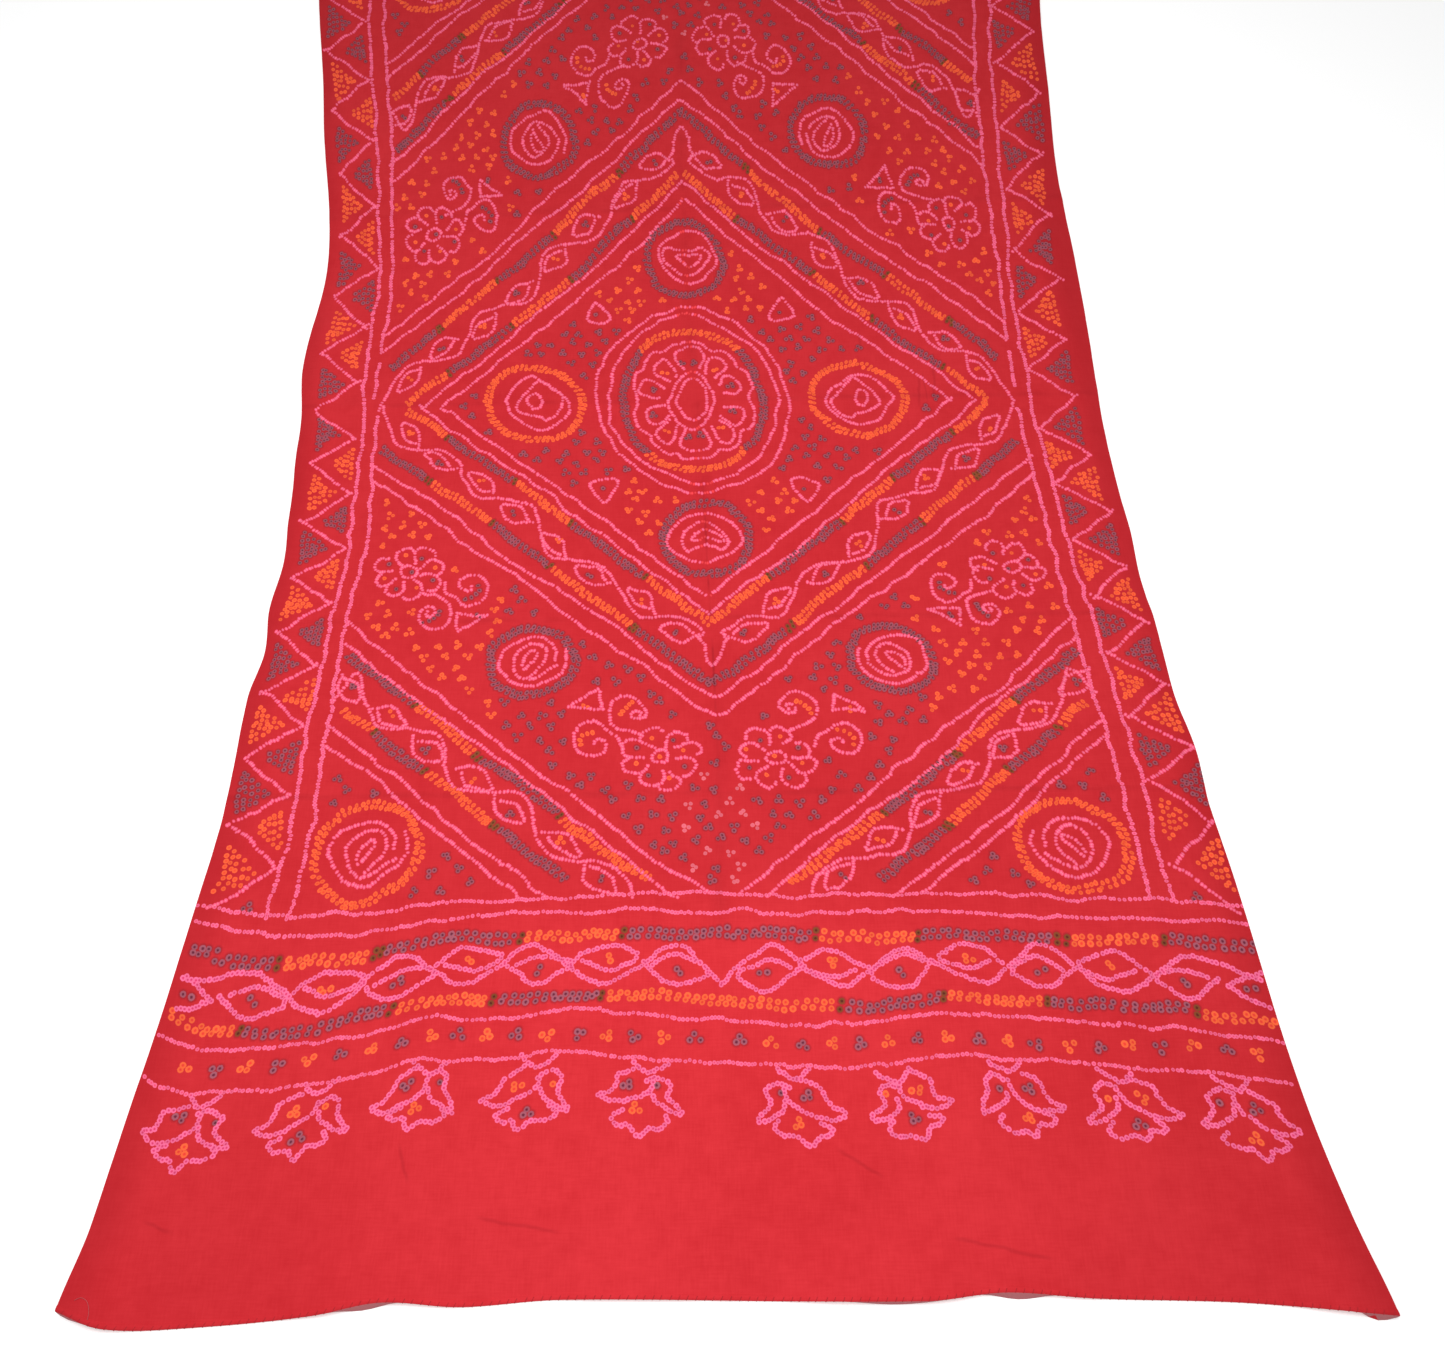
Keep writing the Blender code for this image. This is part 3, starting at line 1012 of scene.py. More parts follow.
def hem_profile(s):
    """How much thicker the cloth is at its rolled hems."""
    from_hem = np.minimum(s, LENGTH - s)
    roll = np.clip(1 - ((from_hem - HEM_TURN / 2) / (HEM_TURN / 2)) ** 2, 0, 1)
    return HEM_BEAD * np.sqrt(roll)


# Relief of the tied ground and of the plain ends: height of its puckers
FIELD_PUCKER = 0.00075
PLAIN_PUCKER = 0.00035


def ruffle(x, y, s):
    """The small uneven swells of cloth that has been tied and washed, at points of the grid."""
    t = pattern_along(s)
    tied = np.clip((0.56 - np.abs(t)) / 0.06, 0, 1)
    height = PLAIN_PUCKER + (FIELD_PUCKER - PLAIN_PUCKER) * tied
    swell = np.array([noise.noise(Vector((px * 34, py * 22, 3.0)))
                      + 0.6 * noise.noise(Vector((px * 75, py * 60, 9.0)))
                      for px, py in zip(x, y)])
    edge = np.clip(np.minimum(s, LENGTH - s) / 0.03, 0, 1)
    return height * np.clip(0.5 + swell, 0, 1.2) * edge


# Close places along the pattern, between which it is read straight
FINE_ALONG = np.linspace(LENGTHWAYS[0]["along"], LENGTHWAYS[-1]["along"], 2001)


def pattern_along(s):
    """The place in the pattern's own frame of places along the cloth."""
    return np.interp(s, along(LENGTHWAYS, "along", "s", FINE_ALONG), FINE_ALONG)


def edge_wave(across, s):
    """How far the cloth near its sides stands off the solid's smooth outline."""
    near = np.clip((np.abs(across) - EDGE_FROM) / (1 - EDGE_FROM), 0, 1)
    out = 0.0
    for row in EDGE_WAVES:
        side = np.where(across * row["side"] > 0, row["side"], 0)
        out = out + side * row["out"] * soft(np.abs(s - row["s"]), row["reach"])
    return near * near * out


def make_sheet():
    """The cloth as one closed thin sheet on the folds of its solid, with its dots in it."""
    us, rows = across_stations(), length_stations()
    across, s = np.meshgrid(us, rows)
    across, s = across.ravel(), s.ravel()
    x, y = place(across, s)
    x = x + edge_wave(across, s)
    low = lift(across, s) + ruffle(x, y, s)
    top = low + CLOTH + hem_profile(s)
    out = sum(row["out"] * soft(np.abs(across - row["across"]), row["reach"]) for row in HEM_BACK_AND_SHADE)
    out = np.where(s == 0, out, 0)
    turned = np.clip(out / 0.002, 0, 1)
    wide, deep = len(us), len(rows)
    count = wide * deep
    under = np.stack((x, y - out, low * (1 - turned)), 1)
    points = np.concatenate((np.stack((x, y, top), 1), under))
    i, j = np.meshgrid(np.arange(wide - 1), np.arange(deep - 1))
    corner = (j * wide + i).ravel()
    upper = np.stack((corner, corner + 1, corner + wide + 1, corner + wide), 1)
    lower = upper[:, ::-1] + count
    ring = list(range(wide - 1)) + [row * wide + wide - 1 for row in range(deep - 1)]
    ring += [(deep - 1) * wide + col for col in range(wide - 1, 0, -1)]
    ring += [row * wide for row in range(deep - 1, 0, -1)]
    ring = np.array(ring)
    after = np.roll(ring, -1)
    rim = np.stack((ring + count, after + count, after, ring), 1)
    mesh = bpy.data.meshes.new("cloth_sheet")
    mesh.from_pydata(points.tolist(), [], np.concatenate((upper, lower, rim)).tolist())
    mesh.update()
    mesh.shade_smooth()
    mesh.set_sharp_from_angle(angle=math.radians(60))
    give_places(mesh, across, s)
    give_wrinkles(mesh, x, y)
    give_dots(mesh, us, rows, len(upper))
    give_uv(mesh, across, s)
    mesh.materials.append(red_cloth())
    # The turned-out strip of the near hem: the cloth's paler back with painted shade, in one colour
    mesh.materials.append(plain_cloth("hem_back_painted_shade", (188, 112, 116)))
    for face in mesh.polygons[2 * len(upper):2 * len(upper) + wide - 1]:
        if turned[ring[face.index - 2 * len(upper)]] > 0.05:
            face.material_index = 1
    return bpy.data.objects.new("cloth_sheet", mesh)


def give_places(mesh, across, s):
    """Each point's place in the pattern's frame, and its distance from the lengthwise fold."""
    t = pattern_along(s)
    a = across * HALF
    values = np.stack((a, t, a - centre_stray(t)), 1)
    give_vectors(mesh, "pattern_place", "POINT", values)


# Thin wrinkles, drawn only as painted shade, from one place to another across and along the cloth
WRINKLE_SHADE_LINES = named(
    "from to",
    ((0.412, 0.940), (0.414, 0.912)),
    ((0.555, 0.882), (0.546, 0.838)),
    ((0.598, 0.906), (0.586, 0.848)),
    ((0.643, 0.541), (0.686, 0.547)),
    ((0.609, 0.349), (0.603, 0.327)),
    ((0.190, 0.110), (0.266, 0.087)),
    ((0.355, 0.042), (0.506, 0.025)),
    ((-0.390, 0.063), (-0.253, 0.047)),
    ((-0.925, 0.077), (-0.866, 0.068)),
    ((-0.531, 0.117), (-0.505, 0.084)),
)


def give_wrinkles(mesh, x, y):
    """Each point's distance beside the nearest wrinkle's line, and past the wrinkle's ends, which
    place the wrinkles' painted shade.
    """
    beside, past = np.full(len(x), 1.0), np.full(len(x), 1.0)
    for row in WRINKLE_SHADE_LINES:
        start, end = ends(row)
        way_x, way_y = end[0] - start[0], end[1] - start[1]
        size = np.hypot(way_x, way_y)
        along_line = ((x - start[0]) * way_x + (y - start[1]) * way_y) / size
        off = ((x - start[0]) * way_y - (y - start[1]) * way_x) / size
        over = np.abs(along_line - size / 2) - size / 2
        nearer = np.hypot(off, np.maximum(over, 0)) < np.hypot(beside, np.maximum(past, 0))
        beside, past = np.where(nearer, off, beside), np.where(nearer, over, past)
    values = np.stack((beside, past, np.zeros_like(x)), 1)
    give_vectors(mesh, "wrinkle", "POINT", values)


def give_dots(mesh, us, rows, top_faces):
    """The dots that reach into each face of the top, the nearest first."""
    a_lines = us * HALF
    t_lines = pattern_along(rows)
    cells, picks, gaps = [], [], []
    for number, (a, t, *_) in enumerate(dots):
        first = max(np.searchsorted(a_lines, a - REACH) - 1, 0)
        last = min(np.searchsorted(a_lines, a + REACH), len(us) - 1)
        low = max(np.searchsorted(t_lines, t - REACH) - 1, 0)
        high = min(np.searchsorted(t_lines, t + REACH), len(rows) - 1)
        for j in range(low, high):
            off_t = max(t_lines[j] - t, t - t_lines[j + 1], 0)
            for i in range(first, last):
                off_a = max(a_lines[i] - a, a - a_lines[i + 1], 0)
                gap = math.hypot(off_a, off_t)
                if gap < REACH:
                    cells.append(j * (len(us) - 1) + i)
                    picks.append(number)
                    gaps.append(gap + 0.2 * math.hypot((a_lines[i] + a_lines[i + 1]) / 2 - a,
                                                       (t_lines[j] + t_lines[j + 1]) / 2 - t))
    cells, picks, gaps = np.array(cells), np.array(picks), np.array(gaps)
    order = np.lexsort((gaps, cells))
    cells, picks = cells[order], picks[order]
    starts = np.searchsorted(cells, cells)
    rank = np.arange(len(cells)) - starts
    kept = rank < SLOTS
    table = np.array(dots)
    nearest = np.full(top_faces, -1)
    nearest[cells[rank == 0]] = picks[rank == 0]
    first_row, second_row = cell_maps(table, nearest, rows, len(us) - 1)
    luck = np.random.default_rng(5).uniform(0.0, 0.9, len(dots))
    for slot in range(SLOTS):
        values = np.full((top_faces, 3), EMPTY)
        chosen = kept & (rank == slot)
        cell, dot = cells[chosen], table[picks[chosen]]
        mapped = [row[cell, 0] * dot[:, 0] + row[cell, 1] * dot[:, 1]
                  for row in (first_row, second_row)]
        values[cell] = np.stack((*mapped, dot[:, 2] + luck[picks[chosen]]), 1)
        give_vectors(mesh, f"dots_{slot}", "FACE", values, EMPTY)
    give_vectors(mesh, "map_first", "FACE", first_row)
    give_vectors(mesh, "map_second", "FACE", second_row)


def give_vectors(mesh, name, domain, values, rest=0.0):
    """Stores three numbers for each point or face of the top and again for the underside."""
    layer = mesh.attributes.new(name, "FLOAT_VECTOR", domain)
    stored = np.full((len(layer.data), 3), rest)
    stored[:len(values)] = values
    stored[len(values):2 * len(values)] = values
    layer.data.foreach_set("vector", stored.astype(np.float32).ravel())


def cell_maps(table, nearest, rows, columns):
    """Two rows of a map for each face of the top, which draws the dots out beside their line."""
    t_rows = pattern_along((rows[1:] + rows[:-1]) / 2)
    s_rows = (rows[1:] + rows[:-1]) / 2
    slope = np.gradient(along(LENGTHWAYS, "along", "s", FINE_ALONG), FINE_ALONG)
    long = np.repeat(np.interp(t_rows, FINE_ALONG, slope) ** 0.3, columns)
    wide = (along(SIDES, "s", "right", s_rows) - along(SIDES, "s", "left", s_rows)) / 2 / HALF
    wide = np.repeat(wide, columns)
    way = np.where(nearest[:, None] >= 0, table[nearest, 3:5], 0.0)
    in_field = np.abs(np.repeat(t_rows, columns)) < FIELD_END - 0.006
    drawn = (np.abs(way).sum(axis=1) > 0) & in_field
    plain = np.where(drawn, DRAWN_ALONG, 1.0)
    more = np.where(drawn, DRAWN_BESIDE - DRAWN_ALONG, 0.0)
    cross = more * way[:, 0] * way[:, 1]
    nothing = np.zeros_like(cross)
    first = np.stack(((plain + more * way[:, 0] ** 2) * wide, cross * long, nothing), 1)
    second = np.stack((cross * wide, (plain + more * way[:, 1] ** 2) * long, nothing), 1)
    return first, second


# Hand stitches over the rolled hems, and a loose thread at the near left corner
STITCH_PITCH = 0.0065
STITCH_IN = 0.0033
STITCH_SLANT = 0.0017
STITCH_THICK = 0.00034
STITCH_PATH = ((1.0, -0.0005), (0.8, -0.0001), (0.4, -0.0001), (0.04, -0.0002), (-0.03, -0.0013))
LOOSE_THICK = 0.00018
LOOSE_THREAD = ((-0.978, 0.012), (-0.970, 0.0155), (-0.960, 0.015), (-0.953, 0.010),
                (-0.951, 0.004))


def tube(points, faces, path, thick):
    """Adds a thin closed thread along a path to lists of points and faces."""
    sides, first = 5, len(points)
    for i, at in enumerate(path):
        way = path[min(i + 1, len(path) - 1)] - path[max(i - 1, 0)]
        out = way.cross(Vector((0, 0, 1))).normalized()
        up = out.cross(way).normalized()
        for k in range(sides):
            angle = math.tau * k / sides
            points.append(at + out * thick * math.cos(angle) + up * thick * math.sin(angle))
    for i in range(len(path) - 1):
        for k in range(sides):
            low, high = first + i * sides, first + (i + 1) * sides
            faces.append((low + k, low + (k + 1) % sides, high + (k + 1) % sides, high + k))
    faces.append(tuple(range(first + sides - 1, first - 1, -1)))
    faces.append(tuple(range(first + (len(path) - 1) * sides, first + len(path) * sides)))


def on_cloth(places, thick):
    """Points over the cloth's top at rows of a place across, a place along and a height."""
    across, s, above = np.array(places).T
    x, y = place(across, s)
    top = lift(across, s) + CLOTH + hem_profile(s) + above
    return [Vector(point) for point in zip(x + edge_wave(across, s), y, np.maximum(top, thick))]


def make_stitches():
    """The slanted stitches that hold both hems, and the loose thread, as one mesh."""
    points, faces = [], []
    count = int((SIDES[0]["right"] - SIDES[0]["left"]) / STITCH_PITCH)
    places = []
    for far in (False, True):
        for n in range(count):
            across = -0.996 + 1.992 * (n + 0.5) / count + chance.gauss(0, 0.0008)
            for inward, above in STITCH_PATH:
                s = STITCH_IN * inward
                slanted = across + STITCH_SLANT * inward / 0.5
                places.append((slanted, LENGTH - s if far else s, above))
    path = on_cloth(places, STITCH_THICK)
    for at in range(0, len(path), len(STITCH_PATH)):
        tube(points, faces, path[at:at + len(STITCH_PATH)], STITCH_THICK)
    stitched = len(faces)
    path = [(across, s, 0.0006) for across, s in smooth(LOOSE_THREAD, steps=5)]
    tube(points, faces, on_cloth(path, LOOSE_THICK), LOOSE_THICK)
    mesh = bpy.data.meshes.new("hem_stitches")
    mesh.from_pydata(points, [], faces)
    mesh.shade_smooth()
    mesh.materials.append(thread("red_thread", (206, 44, 52)))
    mesh.materials.append(thread("loose_thread", (226, 108, 114)))
    for face in mesh.polygons[stitched:]:
        face.material_index = 1
    return bpy.data.objects.new("hem_stitches", mesh)


def thread(name, colour):
    """Twisted sewing thread."""
    nodes = Nodes(name)
    coords = nodes.node("ShaderNodeTexCoord").outputs["Object"]
    twist = nodes.noise(coords, 1400.0, 1.0)
    dark = tuple(0.7 * v for v in colour)
    shade = nodes.mix(twist, linear(dark), linear(colour))
    nodes.tree.links.new(shade, nodes.shader.inputs["Base Color"])
    nodes.shader.inputs["Roughness"].default_value = 0.8
    nodes.shader.inputs["Specular IOR Level"].default_value = 0.15
    return nodes.material


def give_uv(mesh, across, s):
    """Unwraps the top over most of the map and the underside over the rest."""
    layer = mesh.uv_layers.new(name="OFBake")
    corners = np.zeros(len(mesh.loops), dtype=np.int64)
    mesh.loops.foreach_get("vertex_index", corners)
    length = s / LENGTH * 0.996 + 0.002
    width = (across + 1) / 2
    top = np.stack((length, 0.002 + width * 0.796), 1)
    under = np.stack((length, 0.802 + width * 0.196), 1)
    both = np.concatenate((top, under))
    layer.data.foreach_set("uv", both[corners].astype(np.float32).ravel())


# How much brighter than its own colour a surface looks in the studio's light
LIT = 1.17


def linear(colour):
    """The shader's colour for one seen as 0 to 255 on a screen in the studio's light."""
    return tuple(((v / 255 + 0.055) / 1.055) ** 2.4 / LIT for v in colour) + (1,)


class Nodes:
    """Short calls that add nodes to a material and join them."""

    def __init__(self, name):
        self.material = bpy.data.materials.new(name)
        self.material.use_nodes = True
        self.tree = self.material.node_tree
        self.shader = self.tree.nodes["Principled BSDF"]

    def node(self, kind, inputs=(), **settings):
        made = self.tree.nodes.new(kind)
        for name, value in settings.items():
            setattr(made, name, value)
        for index, value in enumerate(inputs):
            if value is None:
                continue
            if isinstance(value, bpy.types.NodeSocket):
                self.tree.links.new(value, made.inputs[index])
            else:
                made.inputs[index].default_value = value
        return made

    def math(self, operation, *inputs):
        return self.node("ShaderNodeMath", inputs, operation=operation).outputs[0]

    def plus(self, first, second):
        return self.math("ADD", first, second)

    def minus(self, first, second):
        return self.math("SUBTRACT", first, second)

    def times(self, first, second):
        return self.math("MULTIPLY", first, second)

    def absolute(self, value):
        return self.math("ABSOLUTE", value)

    def vector(self, operation, *inputs):
        made = self.node("ShaderNodeVectorMath", inputs, operation=operation)
        return made.outputs["Value"] if operation in ("LENGTH", "DOT_PRODUCT") else made.outputs[0]

    def mix(self, factor, first, second, blend="MIX"):
        inputs = (factor, *[None] * 5, first, second)
        return self.node("ShaderNodeMix", inputs, data_type="RGBA", blend_type=blend).outputs[2]

    def attribute(self, name):
        return self.node("ShaderNodeAttribute", attribute_name=name).outputs["Vector"]

    def noise(self, vector, scale, detail=2.0, roughness=0.5):
        inputs = (vector, None, scale, detail, roughness)
        return self.node("ShaderNodeTexNoise", inputs).outputs["Fac"]

    def soft_step(self, value, low, high):
        made = self.node("ShaderNodeMapRange", (value, low, high, 0.0, 1.0),
                         interpolation_type="SMOOTHSTEP")
        return made.outputs[0]

    def by_kind(self, kind, colours):
        """Steps through colours by a dot's kind."""
        ramp = self.node("ShaderNodeValToRGB", (self.math("DIVIDE", kind, float(len(colours))),))
        ramp.color_ramp.interpolation = "CONSTANT"
        for index, colour in enumerate(colours):
            stops = ramp.color_ramp.elements
            stop = stops[0] if index == 0 else stops.new(index / len(colours))
            stop.color = colour
        return ramp.outputs[0]


def nearest_dot(nodes):
    """The distance to the nearest dot of this face and that dot's number."""
    here = nodes.attribute("pattern_place")
    parts = [nodes.vector("DOT_PRODUCT", here, nodes.attribute(name))
             for name in ("map_first", "map_second")]
    here = nodes.node("ShaderNodeCombineXYZ", (*parts, 0.0)).outputs[0]
    best, number = 1.0, 0.0
    for slot in range(SLOTS):
        dot = nodes.attribute(f"dots_{slot}")
        off = nodes.vector("MULTIPLY", nodes.vector("SUBTRACT", here, dot), (1.0, 1.0, 0.0))
        distance = nodes.vector("LENGTH", off)
        nearer = nodes.math("LESS_THAN", distance, best)
        code = nodes.node("ShaderNodeSeparateXYZ", (dot,)).outputs["Z"]
        choice = nodes.node("ShaderNodeMix", (nearer, None, number, code), data_type="FLOAT")
        number = choice.outputs[0]
        best = nodes.math("MINIMUM", distance, best)
    return best, number


# Reds of the ground; of the darker tied field and the painted shade at the sides; of the painted
# shade along the folds and wrinkles; and of the dye round a dark dot, as they look in the
# photograph
BATH_RED, BRIGHT_RED, DARK_AND_SHADE_RED = (208, 40, 48), (227, 54, 62), (168, 26, 34)
FOLD_SHADE_RED, WRINKLE_SHADE_RED, SMUDGE_RED = (120, 14, 24), (146, 22, 32), (122, 30, 40)

# Parts of a tied dot, as where each begins and is whole, in the dot's own radius
RING_EDGE = (1.15, 0.86)
CORE_EDGE = (0.62, 0.22)
HALO_EDGE = (2.00, 0.95)
# How much of each part's colour shows
RING_SHOWS, CORE_SHOWS, SMUDGE_SHOWS = 0.93, 0.88, 0.52


def red_cloth():
    """The dyed ground with its tied dots, weave and fine puckers, and painted shade along its
    folds, wrinkles and edges.
    """
    nodes = Nodes("red_cloth")
    coords = nodes.node("ShaderNodeTexCoord").outputs["Object"]
    distance, number = nearest_dot(nodes)
    kind = nodes.math("FLOOR", number)
    luck = nodes.times(nodes.math("FRACT", number), 1.11)
    rows = [(k["radius"] * 100, k["radius"] * 100, k["radius"] * 100, 1) for k in KINDS]
    radius = nodes.math("DIVIDE", nodes.by_kind(nodes.plus(kind, 0.5), rows), 100.0)
    grain = nodes.minus(nodes.noise(coords, 900.0, 1.0), 0.5)
    size = nodes.plus(nodes.times(luck, 0.24), 0.88)
    reach = nodes.math("DIVIDE", distance, nodes.times(radius, size))
    reach = nodes.plus(reach, nodes.times(grain, 0.40))
    ring = nodes.soft_step(reach, *RING_EDGE)
    core = nodes.soft_step(reach, *CORE_EDGE)
    halo = nodes.soft_step(reach, *HALO_EDGE)
    step = nodes.plus(kind, 0.5)
    dark_kind = nodes.by_kind(step, [(1, 1, 1, 1) if k in DARK_KINDS else (0, 0, 0, 1)
                                     for k in range(len(KINDS))])
    ground = ground_colour(nodes, coords)
    smudge = nodes.times(halo, nodes.times(dark_kind, SMUDGE_SHOWS))
    base = nodes.mix(smudge, ground, linear(SMUDGE_RED))
    ring_colour = nodes.by_kind(step, [linear(k["ring"]) for k in KINDS])
    core_colour = nodes.by_kind(step, [linear(k["core"]) for k in KINDS])
    shade = nodes.plus(nodes.times(luck, 0.22), 0.88)
    shades = nodes.node("ShaderNodeCombineXYZ", (shade, shade, shade)).outputs[0]
    dot_colour = nodes.mix(nodes.times(core, CORE_SHOWS), ring_colour, core_colour)
    dot_colour = nodes.mix(1.0, dot_colour, shades, "MULTIPLY")
    colour = nodes.mix(nodes.times(ring, RING_SHOWS), base, dot_colour)
    # Painted shade along the old fold lines and the thin wrinkles
    colour = paint_wrinkle_shade(nodes, coords, paint_crease_shade(nodes, coords, colour))
    nodes.tree.links.new(colour, nodes.shader.inputs["Base Color"])
    nodes.shader.inputs["Roughness"].default_value = 0.88
    nodes.shader.inputs["Specular IOR Level"].default_value = 0.08
    nodes.shader.inputs["Sheen Weight"].default_value = 0.02
    nodes.shader.inputs["Sheen Roughness"].default_value = 0.5
    add_bump(nodes, coords)
    return nodes.material


# Half widths of the painted shade along the old fold lines and the thin wrinkles, as where each
# begins and is whole
FOLD_LINE = (0.0017, 0.0003)
FOLD_BAND = (0.0120, 0.0)
CROSS_BAND = (0.0050, 0.0)
WRINKLE_LINE = (0.0024, 0.0002)


def paint_crease_shade(nodes, coords, colour):
    """Paints shade along the old fold lines: one down the cloth and four across it."""
    part = nodes.node("ShaderNodeSeparateXYZ", (nodes.attribute("pattern_place"),))
    t = part.outputs["Y"]
    fold = part.outputs["Z"]
    broken = nodes.soft_step(nodes.noise(coords, 16.0, 3.0, 0.6), 0.34, 0.66)
    bent = nodes.times(nodes.minus(nodes.noise(coords, 30.0, 1.0), 0.5), 0.006)
    sharp = nodes.times(nodes.soft_step(t, -0.44, -0.30), nodes.soft_step(t, -0.08, -0.24))
    sharp = nodes.plus(nodes.times(sharp, 1.10), 0.10)
    dark = nodes.times(nodes.soft_step(nodes.absolute(fold), *FOLD_LINE), sharp)
    wide = nodes.absolute(nodes.plus(fold, bent))
    dark = nodes.plus(dark, nodes.times(nodes.soft_step(wide, *FOLD_BAND), 0.28))
    dark = nodes.times(dark, nodes.soft_step(t, -0.66, -0.50))
    for crease in CREASE_PLACES:
        off = nodes.absolute(nodes.plus(nodes.minus(t, crease), bent))
        across = nodes.times(nodes.soft_step(off, *CROSS_BAND), 0.30)
        dark = nodes.math("MAXIMUM", dark, across)
    dark = nodes.times(nodes.times(dark, broken), 0.5)
    # Painted shade: darkens the colour over the fold lines and the cross creases
    return nodes.mix(dark, colour, linear(FOLD_SHADE_RED))


def paint_wrinkle_shade(nodes, coords, colour):
    """Paints shade along the thin wrinkles, which fades towards their ends."""
    part = nodes.node("ShaderNodeSeparateXYZ", (nodes.attribute("wrinkle"),))
    bent = nodes.times(nodes.minus(nodes.noise(coords, 60.0, 1.0), 0.5), 0.004)
    off = nodes.absolute(nodes.plus(part.outputs["X"], bent))
    dark = nodes.times(nodes.soft_step(off, *WRINKLE_LINE),
                      nodes.soft_step(part.outputs["Y"], 0.002, -0.010))
    # Painted shade: darkens the colour along each wrinkle
    return nodes.mix(nodes.times(dark, 0.24), colour, linear(WRINKLE_SHADE_RED))


def plain_cloth(name, colour):
    """One plain matt colour of cloth."""
    nodes = Nodes(name)
    nodes.shader.inputs["Base Color"].default_value = linear(colour)
    nodes.shader.inputs["Roughness"].default_value = 0.9
    nodes.shader.inputs["Specular IOR Level"].default_value = 0.08
    return nodes.material


def ground_colour(nodes, coords):
    """The red dye with the streaks and slubs of the yarn and an uneven bath, darker over the tied
    field, with painted shade along the cloth's side edges and towards the sides of the plain ends.
    """
    streaks = nodes.vector("MULTIPLY", coords, (60.0, 700.0, 1.0))
    slubs = nodes.vector("MULTIPLY", coords, (700.0, 60.0, 1.0))
    weft = nodes.noise(streaks, 1.0, 2.0)
    warp = nodes.noise(slubs, 1.0, 2.0)
    patch = nodes.noise(coords, 6.0, 3.0, 0.6)
    blotch = nodes.noise(coords, 60.0, 3.0, 0.6)
    total = nodes.plus(nodes.times(weft, 0.24), nodes.times(warp, 0.24))
    total = nodes.plus(total, nodes.times(patch, 0.46))
    total = nodes.plus(total, nodes.times(blotch, 0.34))
    depth = nodes.soft_step(total, 0.38, 0.90)
    red = nodes.mix(depth, linear(BATH_RED), linear(BRIGHT_RED))
    part = nodes.node("ShaderNodeSeparateXYZ", (nodes.attribute("pattern_place"),))
    tied = nodes.soft_step(nodes.absolute(part.outputs["Y"]), 0.60, 0.50)
    # Painted shade along both side edges of the cloth
    edge = nodes.soft_step(nodes.absolute(part.outputs["Z"]), 0.385, 0.420)
    # Painted light fall-off: darker towards the sides of the plain ends
    side = nodes.soft_step(nodes.absolute(part.outputs["Z"]), 0.10, 0.40)
    side = nodes.times(side, nodes.minus(1.0, tied))
    # Darker over the tied field, plus the painted shade at the edges and sides
    darker_and_shaded = nodes.plus(nodes.times(tied, 0.30), nodes.times(edge, 0.30))
    darker_and_shaded = nodes.plus(darker_and_shaded, nodes.times(side, 0.20))
    return nodes.mix(darker_and_shaded, red, linear(DARK_AND_SHADE_RED))


WEAVE_SCALE = 260.0
BUMP_STRENGTH = 0.45
BUMP_DEPTH = 0.0009


def add_bump(nodes, coords):
    """A fine plain weave, the puckers of the tied ground and thin wrinkles along the cloth."""
    threads = nodes.node("ShaderNodeTexWave", (coords, WEAVE_SCALE, 0.6, 1.0, 1.0, 0.5),
                         wave_type="BANDS", bands_direction="X").outputs["Fac"]
    pucker = nodes.noise(coords, 120.0, 2.0, 0.55)
    drawn = nodes.vector("MULTIPLY", coords, (58.0, 13.0, 1.0))
    wrinkle = nodes.noise(drawn, 1.0, 2.0, 0.6)
    height = nodes.plus(nodes.times(threads, 0.05),
                        nodes.times(pucker, 0.60))
    height = nodes.plus(height, nodes.times(wrinkle, 1.6))
    bump = nodes.node("ShaderNodeBump")
    bump.inputs["Strength"].default_value = BUMP_STRENGTH
    bump.inputs["Distance"].default_value = BUMP_DEPTH
    nodes.tree.links.new(height, bump.inputs["Height"])
    nodes.tree.links.new(bump.outputs[0], nodes.shader.inputs["Normal"])


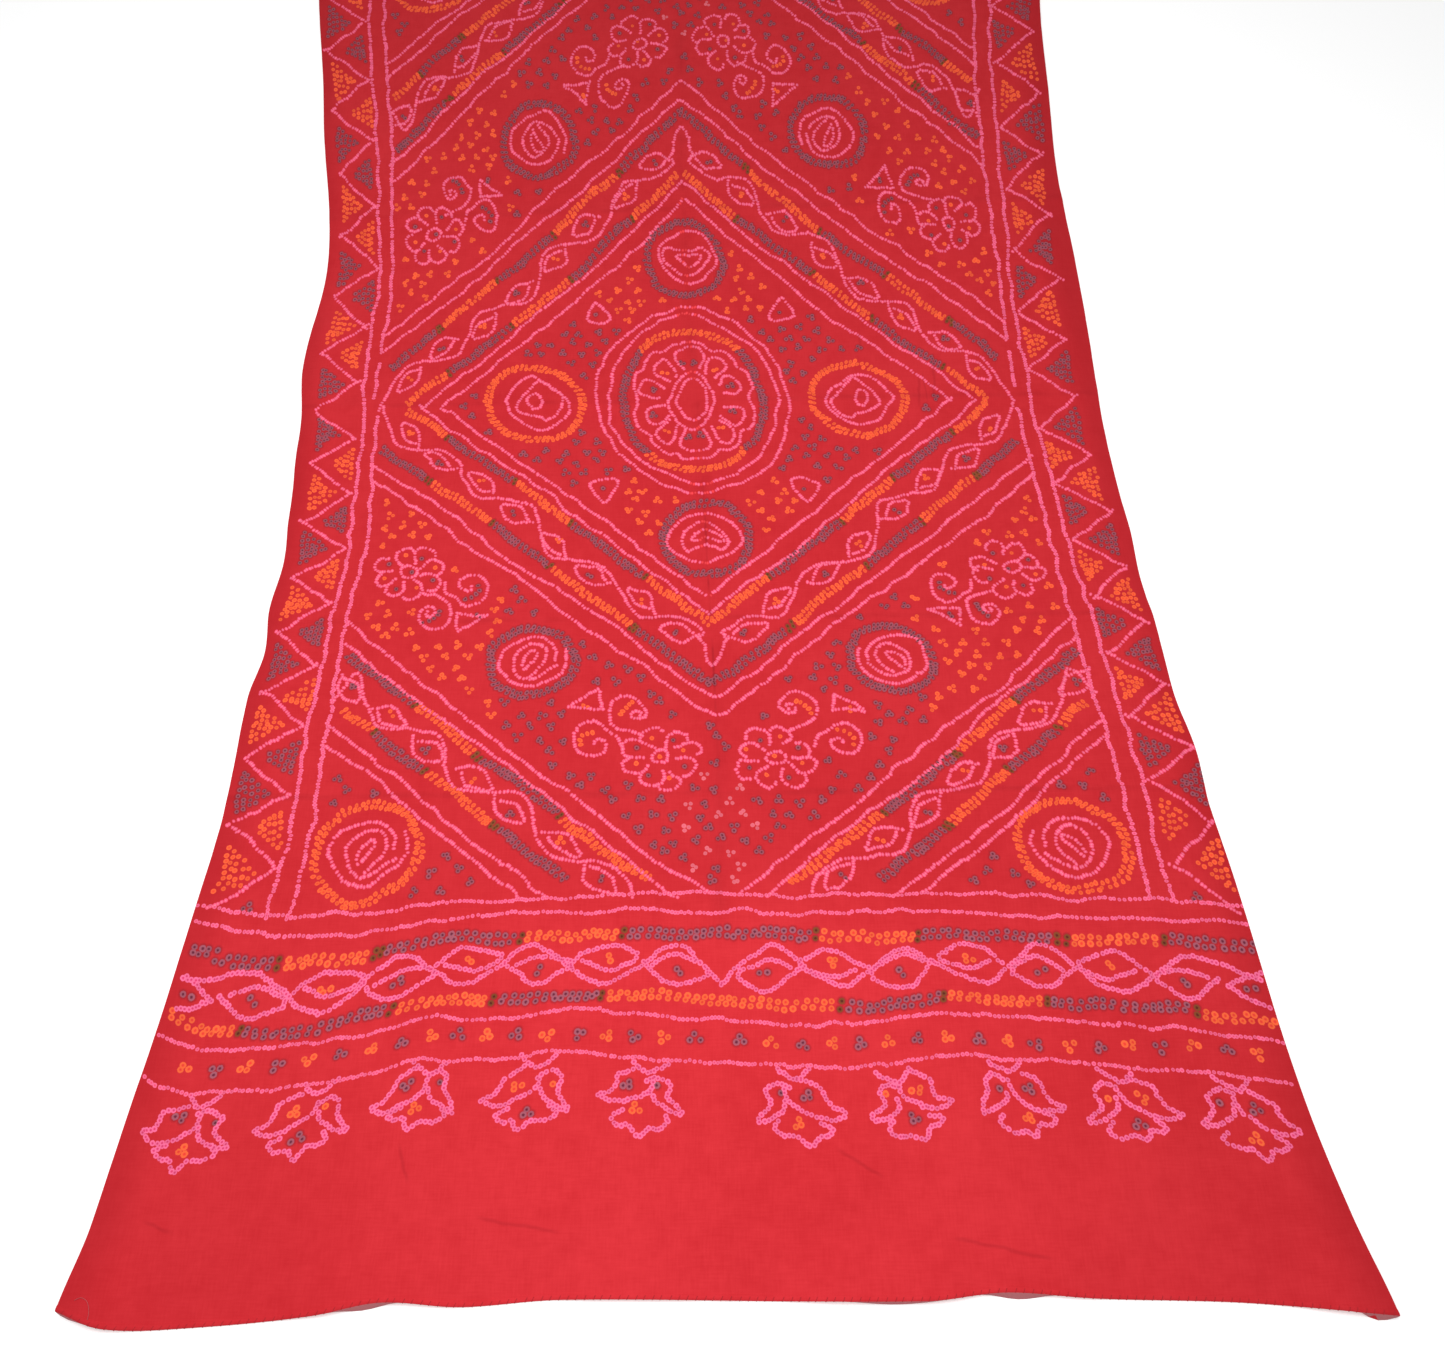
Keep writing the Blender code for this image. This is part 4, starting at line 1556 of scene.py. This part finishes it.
def plain_floor():
    """The white paper that the cloth lies on."""
    bpy.ops.mesh.primitive_plane_add(size=12, location=(0, 0, -0.0005))
    floor = bpy.context.object
    floor.name = "floor"
    nodes = Nodes("white_paper")
    nodes.shader.inputs["Base Color"].default_value = (0.86, 0.86, 0.86, 1)
    nodes.shader.inputs["Roughness"].default_value = 0.9
    nodes.shader.inputs["Emission Color"].default_value = (1, 1, 1, 1)
    nodes.shader.inputs["Emission Strength"].default_value = 0.30
    floor.data.materials.append(nodes.material)


def light(name, place_at, aim, size, power):
    """One soft area light aimed at a point."""
    data = bpy.data.lights.new(name, "AREA")
    data.shape = "RECTANGLE"
    data.size, data.size_y = size
    data.energy = power
    lamp = bpy.data.objects.new(name, data)
    lamp.visible_camera = False
    lamp.location = place_at
    lamp.rotation_euler = (Vector(aim) - Vector(place_at)).to_track_quat("-Z", "Y").to_euler()
    bpy.context.scene.collection.objects.link(lamp)


# Studio: how bright the world is, and the soft light over the near end
WORLD_LIGHT = 0.50
KEY_AT = (-0.12, -0.52, 1.40)
KEY_AIM = (-0.05, -0.45, 0.0)
KEY_SIZE = (1.1, 0.9)
KEY_POWER = 19


def studio():
    """A pale world and one broad soft light over the near end."""
    world = bpy.data.worlds.new("studio")
    world.use_nodes = True
    world.node_tree.nodes["Background"].inputs["Color"].default_value = (1, 1, 1, 1)
    world.node_tree.nodes["Background"].inputs["Strength"].default_value = WORLD_LIGHT
    bpy.context.scene.world = world
    light("key", KEY_AT, KEY_AIM, KEY_SIZE, KEY_POWER)
    bpy.context.scene.view_settings.view_transform = "Standard"


# Camera, where the photograph was taken from
CAMERA_AT = (0.0275, -0.9814 - FAR_CORNER_RISE / 2, 1.105)
CAMERA_TILT = 27.0
LENS = 32.985


def camera():
    """The camera at the photograph's place and angle."""
    data = bpy.data.cameras.new("camera")
    data.lens = LENS
    data.sensor_width = 36.0
    data.sensor_fit = "HORIZONTAL"
    data.clip_start = 0.01
    made = bpy.data.objects.new("camera", data)
    made.location = CAMERA_AT
    made.rotation_euler = (math.radians(CAMERA_TILT), 0, 0)
    bpy.context.scene.collection.objects.link(made)
    bpy.context.scene.camera = made


camera()
tie_dots()
cloth = make_sheet()
bpy.context.scene.collection.objects.link(cloth)
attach(cloth, "root")
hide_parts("cloth")
stitches = make_stitches()
bpy.context.scene.collection.objects.link(stitches)
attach(stitches, "root")
plain_floor()
studio()
